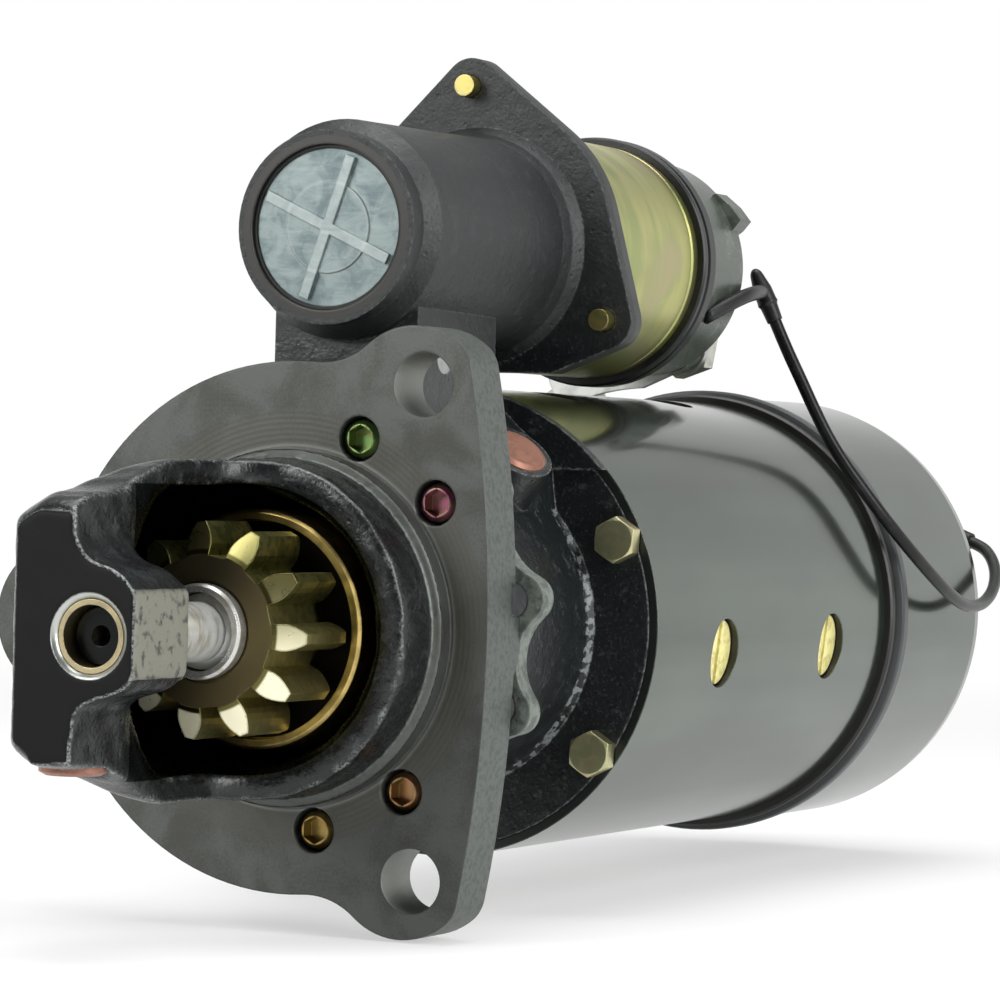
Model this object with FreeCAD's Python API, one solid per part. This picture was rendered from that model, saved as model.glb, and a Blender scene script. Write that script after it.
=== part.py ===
import FreeCAD, Part
import math
import os
from FreeCAD import Vector

# Heavy-duty starter motor, millimetres. The shaft runs along Y with the nose towards -Y, and +Z points to
# the solenoid. The origin is the centre of the round pilot, on the flange's mounting face.
# Angles are in degrees about the Y axis, from +X towards +Z.

# Driving dimensions
pilot_r = 46.04
pilot_height = 5.8
flange_thickness = 17.0
flange_r = 68.8
bolt_circle_r = 73.025
bolt_hole_r = 8.335
ear_angles = (60, -60, 180)
ear_centre_r = 67.4
ear_r = 20.0
ear_hollow_r = 20.0             # joins an ear to the flange's disc
ear_root_r = 20.0               # the ear reaches this far in
ear_corner_x = 45.0             # right of this the ears meet the flange's long edge
ear_corner_fillet = 9.0
clock = -5.7                     # the housing stack is turned this much from the ears

nose_y = -103.3
nose_r = 43.6
window_x = -5.0                  # plane of the cut that opens the nose for the ring gear
rim_y = -22.0
boss_back_y = -75.6
cavity_r = 36.5
throat_r = 34.0
bush_outer_r = 8.9
bush_bore_r = 7.54
nose_journal_r = 7.5
shaft_r = 9.5

housing_y = 20.5
lobe_count = 12
lobe_circle_r = 57.0
lobe_r = 6.1
lobe_valley_r = 55.5
lobe_end_y = 27.0
screw_circle_r = 52.5
free_hole_circle_r = 53.6          # the lobes that take no screw
free_hole_r = 5.1
drum_r = 45.0
drum_bore_r = 41.5
disc_y = 90.5
disc_end_y = 97.0
disc_r = 62.3
plate_seat_y = 94.5                # the centre bearing plate sits here
plate_end_y = 100.0
frame_y = 91.0
frame_end_y = 270.0
frame_r = 64.8
frame_bore_r = 54.0
hex_bolt_circle_r = 58.5
band_end_y = 281.5
cap_end_y = 367.0
cap_r = 67.0
cap_corner_r = 18.0
cap_wall = 5.0
end_bolt_circle_r = 47.5

solenoid_z = 104.2
tower_y = 14.3
tower_ring_r = 25.55
tower_plug_r = 20.7
tower_seal_r = 21.7
tower_bore_r = 22.5
plate_y = 106.2
plate_mid_y = 110.2
can_y = 113.5
can_end_y = 188.0
can_r = 34.3
rubber_r = 36.8
rubber_y = (186.0, 195.0)
cap_front_y = 195.0
cap_rear_y = 230.0
solenoid_cap_r = 33.5

pinion_teeth = 11
pinion_y = (-46.5, -21.5)
pinion_tip_r = 27.5
pinion_root_r = 19.0
pinion_pitch_r = 23.28
clutch_r = 30.5
clutch_y = (-20.0, 14.0)
drive_travel = 21.0
lever_y = 45.0                   # the lever's pivot
lever_z = 72.0
fork_arm = 72.4                  # pivot to the shoes that push the drive
solenoid_arm = 32.2              # pivot to the plunger's slot
groove_y = lever_y + drive_travel / 2
lever_tilt = math.degrees(math.asin(drive_travel / 2 / fork_arm))
plunger_travel = 2 * solenoid_arm * math.sin(math.radians(lever_tilt))
pin_y = lever_y - plunger_travel / 2

core_r = 40.3
core_y = (122.0, 246.0)
pole_r = 41.1
pole_y = (118.0, 250.0)
pole_angle = clock - 1.0
pole_screw_y = (141.0, 225.0)
commutator_r = 24.0
commutator_y = (274.0, 314.0)
brush_y = (285.0, 305.0)

field_stud_angle = 116.0
field_stud_y = 246.0
field_seat_r = frame_r + 3.6

lead_r = 1.95
lead_route = (
    (34.0, 250.0, 89.8), (37.6, 250.5, 81.7), (42.1, 251.5, 72.6), (46.0, 253.0, 63.9), (50.5, 254.3, 54.9),
    (55.8, 255.8, 46.5), (61.2, 258.8, 38.6), (66.2, 263.6, 30.6), (69.8, 270.8, 23.6), (72.8, 280.0, 16.8),
    (74.7, 291.0, 10.8), (75.3, 303.0, 6.2), (75.0, 315.0, 3.6), (74.5, 327.0, 3.0), (73.8, 338.5, 4.3),
    (72.8, 349.0, 7.8), (70.4, 358.6, 12.6), (66.4, 366.4, 17.8), (60.6, 371.6, 22.0), (52.6, 373.0, 24.0),
)

along = Vector(0, 1, 0)
os.makedirs("parts", exist_ok=True)


# Shape helpers

def cyl(radius, y0, y1, x=0, z=0):
    return Part.makeCylinder(radius, y1 - y0, Vector(x, y0, z), along)


def tube(outer, inner, y0, y1, x=0, z=0):
    return cyl(outer, y0, y1, x, z).cut(cyl(inner, y0 - 1, y1 + 1, x, z))


def rod(radius, start, end):
    span = Vector(*end) - Vector(*start)
    return Part.makeCylinder(radius, span.Length, Vector(*start), span)


def box(x0, x1, y0, y1, z0, z1):
    return Part.makeBox(x1 - x0, y1 - y0, z1 - z0, Vector(x0, y0, z0))


def face_of(points):
    return Part.Face(Part.makePolygon(points + points[:1]))


def turned(profile, x=0, z=0):
    """A closed profile of (radius, y) points, revolved about an axis along Y."""
    points = [Vector(x + r, y, z) for r, y in profile]
    return face_of(points).revolve(Vector(x, 0, z), along, 360)


def prism(outline, y0, y1):
    """A closed outline of (x, z) points, pushed from y0 to y1."""
    points = [Vector(x, y0, z) for x, z in outline]
    return face_of(points).extrude(Vector(0, y1 - y0, 0))


def curved_face(stretches, y):
    """A face from stretches of (x, z) points: two points make a line, more make a smooth curve."""
    edges = []
    for stretch in stretches:
        points = [Vector(x, y, z) for x, z in stretch]
        if len(points) == 2:
            edges.append(Part.LineSegment(*points).toShape())
        else:
            curve = Part.BSplineCurve()
            curve.interpolate(points)
            edges.append(curve.toShape())
    return Part.Face(Part.Wire(edges))


def sector(inner, outer, a0, a1, y0, y1):
    points = [Vector(inner, y0, 0), Vector(outer, y0, 0), Vector(outer, y1, 0), Vector(inner, y1, 0)]
    return spin(face_of(points).revolve(Vector(0, 0, 0), -along, a1 - a0), a0)


def spin(shape, angle, x=0, z=0):
    turned_copy = shape.copy()
    turned_copy.rotate(Vector(x, 0, z), along, -angle)
    return turned_copy


def around(shape, angles, x=0, z=0):
    return [spin(shape, angle, x, z) for angle in angles]


def polar(radius, angle, x=0, z=0):
    a = math.radians(angle)
    return x + radius * math.cos(a), z + radius * math.sin(a)


def evenly(count, start=0.0):
    return [start + 360.0 * i / count for i in range(count)]


def fuse(shapes):
    return shapes[0].multiFuse(shapes[1:]).removeSplitter()


def hexagon(across_flats, y0, y1, x=0, z=0, turn=0.0):
    corner_r = across_flats / math.sqrt(3)
    return prism([polar(corner_r, turn + 60 * i, x, z) for i in range(6)], y0, y1)


def spring(radius, wire_r, y0, y1, turns, x=0, z=0):
    height = y1 - y0 - 2 * wire_r
    helix = Part.makeHelix(height / turns, height, radius)
    section = Part.Wire(Part.makeCircle(wire_r, Vector(radius, 0, 0), Vector(0, 1, 0)))
    coil = Part.Wire(helix).makePipeShell([section], True, True)
    coil.rotate(Vector(0, 0, 0), Vector(1, 0, 0), -90)
    coil.translate(Vector(x, y0 + wire_r, z))
    return coil


def rounded_path(places):
    """Straight runs joined by tangent arcs, each as large as its two runs allow, and the arcs' radii."""
    points = [Vector(*place) for place in places]
    edges = []
    radii = []
    last = points[0]
    for before, at, after in zip(points, points[1:], points[2:]):
        back = (before - at).normalize()
        ahead = (after - at).normalize()
        reach = 0.45 * min((before - at).Length, (after - at).Length)
        half_turn = (math.pi - back.getAngle(ahead)) / 2
        radius = reach / math.tan(half_turn)
        middle = at + (back + ahead).normalize() * (radius / math.cos(half_turn) - radius)
        edges.append(Part.LineSegment(last, at + back * reach).toShape())
        edges.append(Part.Arc(at + back * reach, middle, at + ahead * reach).toShape())
        last = at + ahead * reach
        radii.append(round(radius, 1))
    edges.append(Part.LineSegment(last, points[-1]).toShape())
    return Part.Wire(edges), radii


def swept_tube(path, radius, places):
    start = Vector(*places[0])
    section = Part.Wire(Part.makeCircle(radius, start, Vector(*places[1]) - start))
    return path.makePipeShell([section], True, False)


def save(name, *shapes):
    shape = shapes[0] if len(shapes) == 1 else Part.makeCompound(list(shapes))
    if not shape.isValid():
        print("not valid:", name)
    shape.exportStep("parts/" + name + ".step")
    print(name, len(shape.Solids), round(shape.Volume))


# Nose housing

screw_angles = [ear + clock + side for ear in ear_angles for side in (15, -15)]
free_angles = [ear + clock + side for ear in ear_angles for side in (45, 75)]
screw_head_r = 4.9
screw_shank_r = 3.97
counterbore = 8.6
counterbore_r = 5.9
bore_mouth_r = 10.4
bore_mouth_depth = 1.2
plug_r = 8.38
nose_plug_place = (-13.6, -85.3)


def ear(angle):
    """A round tip and the two hollows that join it to the flange's disc without a corner."""
    reach = flange_r + ear_hollow_r
    hollow_x = (reach ** 2 - (ear_r + ear_hollow_r) ** 2 + ear_centre_r ** 2) / (2 * ear_centre_r)
    hollow = Vector(hollow_x, 0, math.sqrt(reach ** 2 - hollow_x ** 2))
    centre = Vector(ear_centre_r, 0, 0)
    foot = hollow * (flange_r / reach)
    meet = centre + (hollow - centre) * (ear_r / (ear_r + ear_hollow_r))
    middle = hollow + (foot + meet - hollow * 2).normalize() * ear_hollow_r
    tip = centre + Vector(ear_r, 0, 0)
    low_foot, low_middle, low_meet = [Vector(point.x, 0, -point.z) for point in (foot, middle, meet)]
    arcs = ((foot, middle, meet), (meet, tip, low_meet), (low_meet, low_middle, low_foot))
    root = [low_foot, Vector(ear_root_r, 0, low_foot.z), Vector(ear_root_r, 0, foot.z), foot]
    edges = [Part.Arc(*arc).toShape() for arc in arcs] + Part.makePolygon(root).Edges
    return spin(Part.Face(Part.Wire(edges)).extrude(Vector(0, flange_thickness, 0)), angle)


def mounting_flange():
    edge_r = 353.0
    edge_x = 56.3
    right_edge = cyl(edge_r, 0, flange_thickness, edge_x - edge_r, 0)
    left_disc = cyl(flange_r, 0, flange_thickness).common(box(-80, 8, 0, flange_thickness, -80, 80))
    right_side = box(0, 60, 0, flange_thickness, -58, 58)
    body = fuse([left_disc, right_side] + [ear(angle) for angle in ear_angles])
    body = body.common(right_edge)
    corners = [edge for edge in body.Edges if edge.BoundBox.YLength > flange_thickness - 1
               and edge.BoundBox.XMin > ear_corner_x]
    body = body.makeFillet(ear_corner_fillet, corners)
    holes = []
    for angle in ear_angles:
        x, z = polar(bolt_circle_r, angle)
        holes.append(cyl(bolt_hole_r, -1, flange_thickness + 1, x, z))
    return body.cut(holes)


def nose_shell():
    body = turned([(0, nose_y), (33.0, nose_y), (35.2, -101), (37.4, -95), (39.0, -86), (40.6, -78),
                   (nose_r, -58), (nose_r, 1), (0, 1)])
    side_view = [(-103.3, 29.3), (-101.8, 31.4), (-98.5, 33.3), (-93, 34.4), (-86, 34.8), (-80, 35.4),
                 (-73, 37.6), (-66, 40.0), (-58, 42.2), (-50, 43.6), (2, 43.7), (2, -43.7), (-55, -43.6),
                 (-64, -41.5), (-74, -36.5), (-85, -33.6), (-100.5, -32.2), (-103.3, -30.9)]
    plan_view = [(-20.5, -103.3), (-24.5, -97), (-28.5, -90), (-34, -80), (-39.6, -70), (-43.7, -57),
                 (-43.7, 2), (43.7, 2), (43.7, rim_y), (8, rim_y), (2.5, -24), (-1.5, -27.5), (-4, -32),
                 (window_x, -38), (window_x, boss_back_y), (-4.2, boss_back_y), (-4.2, nose_y)]
    side_points = [Vector(-50, y, z) for y, z in side_view]
    plan_points = [Vector(x, y, -50) for x, y in plan_view]
    body = body.common(face_of(side_points).extrude(Vector(100, 0, 0)))
    return body.common(face_of(plan_points).extrude(Vector(0, 0, 100)))


def nose_boss():
    """The block round the front bearing: curves above and below, flat at the right and inside."""
    upper = [(-16, 29.0), (-10, 29.2), (-5.2, 25.6), (-0.8, 18.9), (5.4, 16.6), (10.4, 13.1), (12.6, 10.2)]
    lower = [(12.4, -8.6), (10.4, -11.7), (3, -15), (-2.9, -18.2), (-4.3, -26), (-8.5, -30.8), (-16, -31)]
    outline = [upper, [upper[-1], lower[0]], lower, [lower[-1], upper[0]]]
    return curved_face(outline, nose_y).extrude(Vector(0, boss_back_y - nose_y, 0))


def nose_cavity():
    return turned([(0, -72.5), (18, -72), (24.7, -68), (29.5, -64.5), (32.6, -61), (35.4, -55.5),
                   (cavity_r, -50), (cavity_r, rim_y), (throat_r, rim_y + 2), (throat_r, housing_y + 1),
                   (0, housing_y + 1)])


def nose_housing():
    pilot = turned([(0, -pilot_height), (pilot_r - 0.85, -pilot_height), (pilot_r, -pilot_height + 0.85),
                    (pilot_r, 1), (0, 1)])
    rear_land = cyl(56.0, flange_thickness - 1, housing_y)
    body = fuse([nose_shell(), nose_boss(), pilot, mounting_flange(), rear_land])
    mouth = turned([(0, nose_y - 1), (bore_mouth_r + 1, nose_y - 1), (bore_mouth_r, nose_y),
                    (bush_outer_r, nose_y + bore_mouth_depth), (0, nose_y + bore_mouth_depth)])
    cuts = [nose_cavity(), mouth, cyl(bush_outer_r, nose_y + 1, boss_back_y + 8)]
    for angle in screw_angles:
        x, z = polar(screw_circle_r, angle)
        cuts.append(cyl(counterbore_r, -1, counterbore, x, z))
        cuts.append(cyl(screw_shank_r + 0.2, 0, housing_y + 1, x, z))
    for angle in free_angles:
        cuts.append(cyl(free_hole_r, 14.6, housing_y + 1, *polar(free_hole_circle_r, angle)))
    x, y = nose_plug_place
    cuts.append(rod(plug_r + 0.02, (x, y, -40), (x, y, -28.2)))
    cuts.append(rod(3.0, (x, y, -29), (-2.0, y, -6.5)))
    return body.cut(cuts)


def nose_oil_plug():
    x, y = nose_plug_place
    disc = rod(plug_r, (x, y, -33.6), (x, y, -28.4))
    return disc.fuse(Part.makeCone(plug_r, plug_r - 1.6, 0.9, Vector(x, y, -33.6), Vector(0, 0, -1)))


def socket_screw(x, z):
    front = counterbore - 7.9
    head = turned([(0, front), (screw_head_r - 1.2, front), (screw_head_r, front + 1.3),
                   (screw_head_r, counterbore), (0, counterbore)], x, z)
    shank = cyl(screw_shank_r, counterbore - 0.5, lobe_end_y - 0.5, x, z)
    return head.fuse(shank).cut(hexagon(6.35, counterbore - 8.5, counterbore - 3.6, x, z, 30))


save("nose_housing", nose_housing())
save("nose_bushing", tube(bush_outer_r, bush_bore_r, nose_y + bore_mouth_depth, boss_back_y + 3.6))
save("nose_screws", *[socket_screw(*polar(screw_circle_r, angle)) for angle in screw_angles])


# Shift lever housing with the solenoid tower

plate_angles = (93.3, -26.7, 213.3)
plate_bolt_circle_r = 44.8
plug_centre = Vector(33.0, 66.0, 47.3)
plug_normal = Vector(0.58, -0.26, 0.77).normalize()


def solenoid_plate(y0, y1):
    plate_r = 41.5
    tip_r = 8.0
    spread = math.degrees(math.acos((plate_r - tip_r) / plate_bolt_circle_r))
    pieces = [cyl(plate_r, y0, y1, 0, solenoid_z)]
    for angle in plate_angles:
        x, z = polar(plate_bolt_circle_r, angle, 0, solenoid_z)
        pieces.append(cyl(tip_r, y0, y1, x, z))
        sides = (angle - spread, angle + spread)
        inner = [polar(plate_r, side, 0, solenoid_z) for side in sides]
        outer = [polar(tip_r, side, x, z) for side in sides]
        pieces.append(prism([inner[0], outer[0], outer[1], inner[1]], y0, y1))
    flat_bottom = box(-60, 60, y0 - 1, y1 + 1, 69.3, 170)
    return fuse(pieces).common(flat_bottom)


def plate_bolt_holes(radius, y0, y1):
    return [cyl(radius, y0, y1, *polar(plate_bolt_circle_r, angle, 0, solenoid_z)) for angle in plate_angles]


def along_normal(radius, start, end):
    return Part.makeCylinder(radius, end - start, plug_centre + plug_normal * start, plug_normal)


def lobed_ring():
    """Twelve lobes joined by hollows that meet them without a corner."""
    half_step = math.radians(180 / lobe_count)
    reach = lobe_circle_r * math.cos(half_step)
    hollow_r = (lobe_r ** 2 - lobe_valley_r ** 2 - lobe_circle_r ** 2 + 2 * lobe_valley_r * reach) / (
        2 * (lobe_valley_r - reach - lobe_r))
    hollow_x = (lobe_valley_r + hollow_r) * math.cos(half_step) - lobe_circle_r
    hollow_z = (lobe_valley_r + hollow_r) * math.sin(half_step)
    share = lobe_r / (lobe_r + hollow_r)
    meet_r = math.hypot(lobe_circle_r + hollow_x * share, hollow_z * share)
    meet_angle = math.degrees(math.atan2(hollow_z * share, lobe_circle_r + hollow_x * share))
    edges = []
    for centre in evenly(lobe_count, clock + 15):
        start, tip, end, hollow, after = [Vector(x, housing_y, z) for x, z in (
            polar(meet_r, centre - meet_angle), polar(lobe_circle_r + lobe_r, centre),
            polar(meet_r, centre + meet_angle), polar(lobe_valley_r, centre + 180 / lobe_count),
            polar(meet_r, centre + 360 / lobe_count - meet_angle))]
        edges.append(Part.Arc(start, tip, end).toShape())
        edges.append(Part.Arc(end, hollow, after).toShape())
    return Part.Face(Part.Wire(edges)).extrude(Vector(0, lobe_end_y - housing_y, 0))


def lever_housing():
    drum = turned([(0, housing_y), (49.5, housing_y), (49.5, lobe_end_y), (drum_r, lobe_end_y + 2.5),
                   (drum_r, disc_y - 2.0), (drum_r + 1.2, disc_y), (disc_r, disc_y), (disc_r, disc_end_y),
                   (0, disc_end_y)])
    neck = box(-21, 21, 28, 76.2, 20, solenoid_z - 8)
    shoulder = prism([(10, 20), (41, 18), (37.4, 25.5), (34, 31), (33.1, 37), (32.3, 43.9), (28.8, 49.2),
                      (22.7, 54.6), (18.6, 58.6), (10, 60)], 52, disc_y + 1)
    pad = cyl(frame_r, disc_y - 3.0, frame_y - 0.05).common(box(-70, 70, 80, 100, 42.9, 70))
    tower = turned([(0, tower_y), (tower_ring_r, tower_y), (tower_ring_r, 20.5), (29.0, 24.5), (29.4, 60),
                    (30.0, 99), (31.2, 103), (34.0, plate_y + 1), (0, plate_y + 1)], 0, solenoid_z)
    plug_boss = along_normal(10.4, -24, 0)
    plate = solenoid_plate(plate_y, plate_mid_y)
    body = fuse([lobed_ring(), drum, neck, shoulder, pad, tower, plug_boss, plate])
    cavity = turned([(0, housing_y - 1), (drum_bore_r, housing_y - 1), (drum_bore_r, plate_seat_y),
                     (53.5, plate_seat_y), (53.5, disc_end_y + 1), (0, disc_end_y + 1)])
    tower_bore = turned([(0, tower_y - 1), (tower_seal_r, tower_y - 1), (tower_seal_r, 21), (19.5, 21),
                         (19.5, 26), (tower_bore_r, 26), (tower_bore_r, plate_mid_y + 1),
                         (0, plate_mid_y + 1)], 0, solenoid_z)
    neck_bore = box(-14, 14, 34, 71, 30, solenoid_z)
    cuts = [cavity, tower_bore, neck_bore, rod(5.0, (-25, lever_y, lever_z), (25, lever_y, lever_z))]
    cuts += [cyl(4.0, housing_y - 1, lobe_end_y + 1, *polar(screw_circle_r, angle)) for angle in screw_angles]
    for angle in free_angles:
        x, z = polar(free_hole_circle_r, angle)
        cuts.append(cyl(free_hole_r - 0.6, housing_y - 1, lobe_end_y + 1, x, z))
        cuts.append(turned([(0, housing_y - 1), (free_hole_r + 1, housing_y - 1), (free_hole_r, housing_y),
                            (free_hole_r - 0.6, housing_y + 0.8), (0, housing_y + 0.8)], x, z))
    for angle in hex_angles:
        x, z = polar(hex_bolt_circle_r, angle)
        cuts.append(cyl(4.05, 70, disc_end_y + 1, x, z))
        cuts.append(cyl(hex_across / 2 + 2.0, disc_y - 8, disc_y, x, z))
    cuts += plate_bolt_holes(3.2, plate_y - 1, plate_mid_y + 1)
    cuts.append(along_normal(plug_r + 0.02, -4.5, 2))
    cuts.append(along_normal(3.0, -14, 0))
    return body.cut(cuts)


def housing_oil_plug():
    rim = plug_centre + plug_normal * 0.3
    return along_normal(plug_r, -4.4, 0.3).fuse(Part.makeCone(plug_r, plug_r - 1.5, 0.9, rim, plug_normal))


def tower_plug():
    disc = cyl(tower_plug_r, 16.0, 20.6, 0, solenoid_z)
    boss = cyl(12.0, 15.5, 17, 0, solenoid_z)
    rib = box(-19.6, 19.6, 14.9, 17, solenoid_z - 1.4, solenoid_z + 1.4)
    collar = cyl(19.3, 20, 25.5, 0, solenoid_z)
    return fuse([disc, boss, spin(rib, -25, 0, solenoid_z), spin(rib, 71, 0, solenoid_z), collar])


def hex_bolt(x, z, turn):
    front = disc_y - 5.0
    head = hexagon(hex_across, front, disc_y, x, z, turn)
    chamfer = turned([(0, front - 0.1), (5.2, front - 0.1), (6.6, front + 0.75), (6.6, disc_y + 1),
                      (0, disc_y + 1)], x, z)
    return head.common(chamfer).fuse(cyl(3.97, disc_y - 1, 105, x, z))


def shift_lever():
    """Drawn upright at mid travel, then tilted back to rest."""
    hub = rod(10.0, (-12, lever_y, lever_z), (12, lever_y, lever_z))
    upper = box(-2.6, 2.6, lever_y - 5, lever_y + 5, lever_z, solenoid_z - 3)
    tip = rod(4.0, (-2.6, lever_y, lever_z + solenoid_arm), (2.6, lever_y, lever_z + solenoid_arm))
    tip_neck = box(-2.6, 2.6, lever_y - 3.2, lever_y + 3.2, lever_z, solenoid_z)
    shoe_z = lever_z - fork_arm
    shank = box(-6, 6, lever_y - 5, lever_y + 5, shoe_z + 28, lever_z)
    yoke = tube(31.0, 25.6, lever_y - 4, lever_y + 4, 0, shoe_z).common(
        box(-40, 40, 0, 100, shoe_z, shoe_z + 40))
    legs = [box(side * 28.3 - 2.7, side * 28.3 + 2.7, lever_y - 4, lever_y + 4, shoe_z - 3.5, shoe_z + 2)
            for side in (-1, 1)]
    shoes = [rod(4.0, (side * 17.6, lever_y, shoe_z), (side * 27, lever_y, shoe_z)) for side in (-1, 1)]
    upper = upper.common(box(-3, 3, lever_y - 5, lever_y + 5, lever_z, solenoid_z - 9))
    lever = fuse([hub, upper, tip, tip_neck, shank, yoke] + legs + shoes)
    lever = lever.cut(rod(5.05, (-15, lever_y, lever_z), (15, lever_y, lever_z)))
    lever.rotate(Vector(0, lever_y, lever_z), Vector(1, 0, 0), lever_tilt)
    return lever


hex_angles = evenly(6, 24.3)
hex_across = 11.1
save("lever_housing", lever_housing())
save("oil_plugs", nose_oil_plug(), housing_oil_plug())
save("tower_plug", tower_plug())
save("tower_seal", tube(tower_seal_r - 0.05, tower_plug_r + 0.05, 15.4, 20.9, 0, solenoid_z))
save("frame_bolts", *[hex_bolt(*polar(hex_bolt_circle_r, angle), angle + 3) for angle in hex_angles])
save("lever_pin", rod(4.98, (-20.9, lever_y, lever_z), (20.9, lever_y, lever_z)))
save("shift_lever", shift_lever())


# Centre bearing

def center_plate():
    plate = turned([(12.5, 74), (20, 74), (22, plate_seat_y), (53.4, plate_seat_y), (53.4, plate_end_y),
                    (12.5, plate_end_y)])
    windows = [sector(28, 48, a - 14, a + 14, 80, plate_end_y + 1) for a in evenly(4, 39.3)]
    return plate.cut(windows)


save("center_bearing_plate", center_plate())


# Field frame

field_pole_angles = evenly(4, pole_angle)
end_bolt_angles = field_pole_angles


def pole_screw_places():
    return [(angle, y) for angle in field_pole_angles for y in pole_screw_y]


def radial_rod(radius, r0, r1, angle, y):
    x0, z0 = polar(r0, angle)
    x1, z1 = polar(r1, angle)
    return rod(radius, (x0, y, z0), (x1, y, z1))


def field_frame():
    cuts = [cyl(disc_r + 0.05, frame_y - 1, disc_end_y)]
    cuts += [cyl(4.0, frame_y - 1, 106, *polar(hex_bolt_circle_r, angle)) for angle in hex_angles]
    cuts.append(radial_rod(6.0, 50, 70, field_stud_angle, field_stud_y))
    for angle, y in pole_screw_places():
        cuts.append(radial_rod(9.8, frame_r - 5.3, frame_r + 2, angle, y))
        cuts.append(radial_rod(5.05, frame_bore_r - 2, frame_r, angle, y))
    spigot = tube(61.8, 56.5, frame_end_y - 1, 289)
    return tube(frame_r, frame_bore_r, frame_y, frame_end_y).fuse(spigot).cut(cuts)


def pole_shoe():
    shoe = sector(pole_r, 45.0, -33, 33, *pole_y)
    body = sector(44, frame_bore_r - 0.02, -20, 20, pole_y[0] + 6, pole_y[1] - 6)
    holes = [radial_rod(5.02, 46, 60, 0, y) for y in pole_screw_y]
    return shoe.fuse(body).cut(holes)


def field_coil():
    block = sector(45.2, 53.8, -37, 37, 108, 260)
    core = sector(44, 55, -20.6, 20.6, pole_y[0] + 5, pole_y[1] - 5)
    return block.cut(core)


def pole_screw(angle, y):
    head = radial_rod(9.2, frame_r - 5.3, frame_r - 2.3, angle, y)
    shank = radial_rod(5.0, 47, frame_r - 5, angle, y)
    slot = box(frame_r - 3.9, frame_r + 2, y - 1.0, y + 1.0, -10, 10)
    return head.fuse(shank).cut(spin(slot, angle))


def seal_band():
    """Two ridges with a groove between; the rear one stands higher."""
    front = frame_end_y + 0.02
    rear = band_end_y - 0.02
    profile = [(frame_r + 0.02, front), (66.6, front), (67.3, 270.8), (67.3, 272.6), (66.2, 273.2),
               (66.2, 275.2), (68.4, 276.0), (68.8, 277.0), (68.8, 280.2), (68.2, rear), (61.9, rear),
               (61.9, front)]
    return turned(profile)


save("field_frame", field_frame())
save("pole_shoes", *around(pole_shoe(), field_pole_angles))
save("field_coils", *around(field_coil(), field_pole_angles))
save("pole_screws", *[pole_screw(angle, y) for angle, y in pole_screw_places()])
save("frame_seal", seal_band())
save("rear_clamp_ring", tube(frame_bore_r - 0.02, 38.5, 262, frame_end_y).cut(
    [cyl(2.5, 250, 280, *polar(end_bolt_circle_r, angle)) for angle in end_bolt_angles]))


# Armature

slot_count = 25


def armature_shaft():
    front = -97.2
    shaft = turned([(0, front), (6.7, front), (nose_journal_r, front + 0.8), (nose_journal_r, -48.5),
                    (shaft_r, -47), (shaft_r, 67), (10.0, 67.5), (10.0, 100.5), (11.0, 101), (11.0, 322),
                    (nose_journal_r, 322), (nose_journal_r, 352), (0, 352)])
    centre_hole = turned([(0, front - 1), (3.4, front - 1), (2.6, front), (1.0, front + 2), (1.0, front + 4.6),
                          (0, front + 4.6)])
    return shaft.cut(centre_hole)


def armature_core():
    slot = box(29, core_r + 1, core_y[0] - 1, core_y[1] + 1, -2.2, 2.2)
    return tube(core_r, 11.02, *core_y).cut(around(slot, evenly(slot_count)))


def armature_winding():
    front = turned([(15, core_y[0] - 14), (30, core_y[0] - 16), (37, core_y[0] - 10), (37, core_y[0] - 0.1),
                    (15, core_y[0] - 0.1)])
    rear = turned([(15, core_y[1] + 0.1), (37, core_y[1] + 0.1), (36, core_y[1] + 12), (31, core_y[1] + 20),
                   (29, 275), (26, 275), (24.2, core_y[1] + 24), (15, core_y[1] + 20)])
    bar = box(30, 36.8, core_y[0] - 1, core_y[1] + 1, -1.9, 1.9)
    return fuse([front, rear] + around(bar, evenly(slot_count)))


def commutator():
    front, rear = commutator_y
    body = turned([(11.02, front - 2), (24.0, front - 2), (24.0, front), (25.6, front + 1.2),
                   (29.0, front + 1.2), (29.0, front + 6), (commutator_r, front + 7), (commutator_r, rear),
                   (11.02, rear)])
    gap = box(commutator_r - 1.6, 31, front - 3, rear + 1, -0.4, 0.4)
    return body.cut(around(gap, evenly(slot_count, 7.2)))


save("armature_shaft", armature_shaft())
save("armature_core", armature_core())
save("armature_winding", armature_winding())
save("commutator", commutator())


# Drive

def tooth_half_angle(radius):
    """Involute tooth: half its angle as seen from the centre, in degrees, at a radius."""
    base_r = pinion_pitch_r * math.cos(math.radians(20))
    pressure = math.acos(min(1.0, base_r / max(radius, base_r)))
    pitch_pressure = math.radians(20)
    roll = (math.tan(pitch_pressure) - pitch_pressure) - (math.tan(pressure) - pressure)
    return 90.0 / pinion_teeth + math.degrees(roll)


def pinion():
    flank = [pinion_root_r + 0.01, 21.9, 23.3, 24.8, 26.2, pinion_tip_r]
    outline = []
    for centre in evenly(pinion_teeth, pinion_phase):
        outline += [polar(r, centre - tooth_half_angle(r)) for r in flank]
        outline += [polar(r, centre + tooth_half_angle(r)) for r in reversed(flank)]
    teeth = prism(outline, *pinion_y)
    ends = turned([(0, pinion_y[0]), (19.4, pinion_y[0]), (pinion_tip_r, pinion_y[0] + 3.2),
                   (pinion_tip_r, pinion_y[1] - 0.6), (26.9, pinion_y[1]), (0, pinion_y[1])])
    shank = cyl(17.0, pinion_y[1] - 1, 8)
    bore = turned([(0, pinion_y[0] - 1), (12.9, pinion_y[0] - 1), (12.9, pinion_y[0] + 0.6),
                   (shaft_r + 0.08, pinion_y[0] + 1.6), (shaft_r + 0.08, 10), (0, 10)])
    return teeth.common(ends).fuse(shank).cut(bore)


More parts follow.
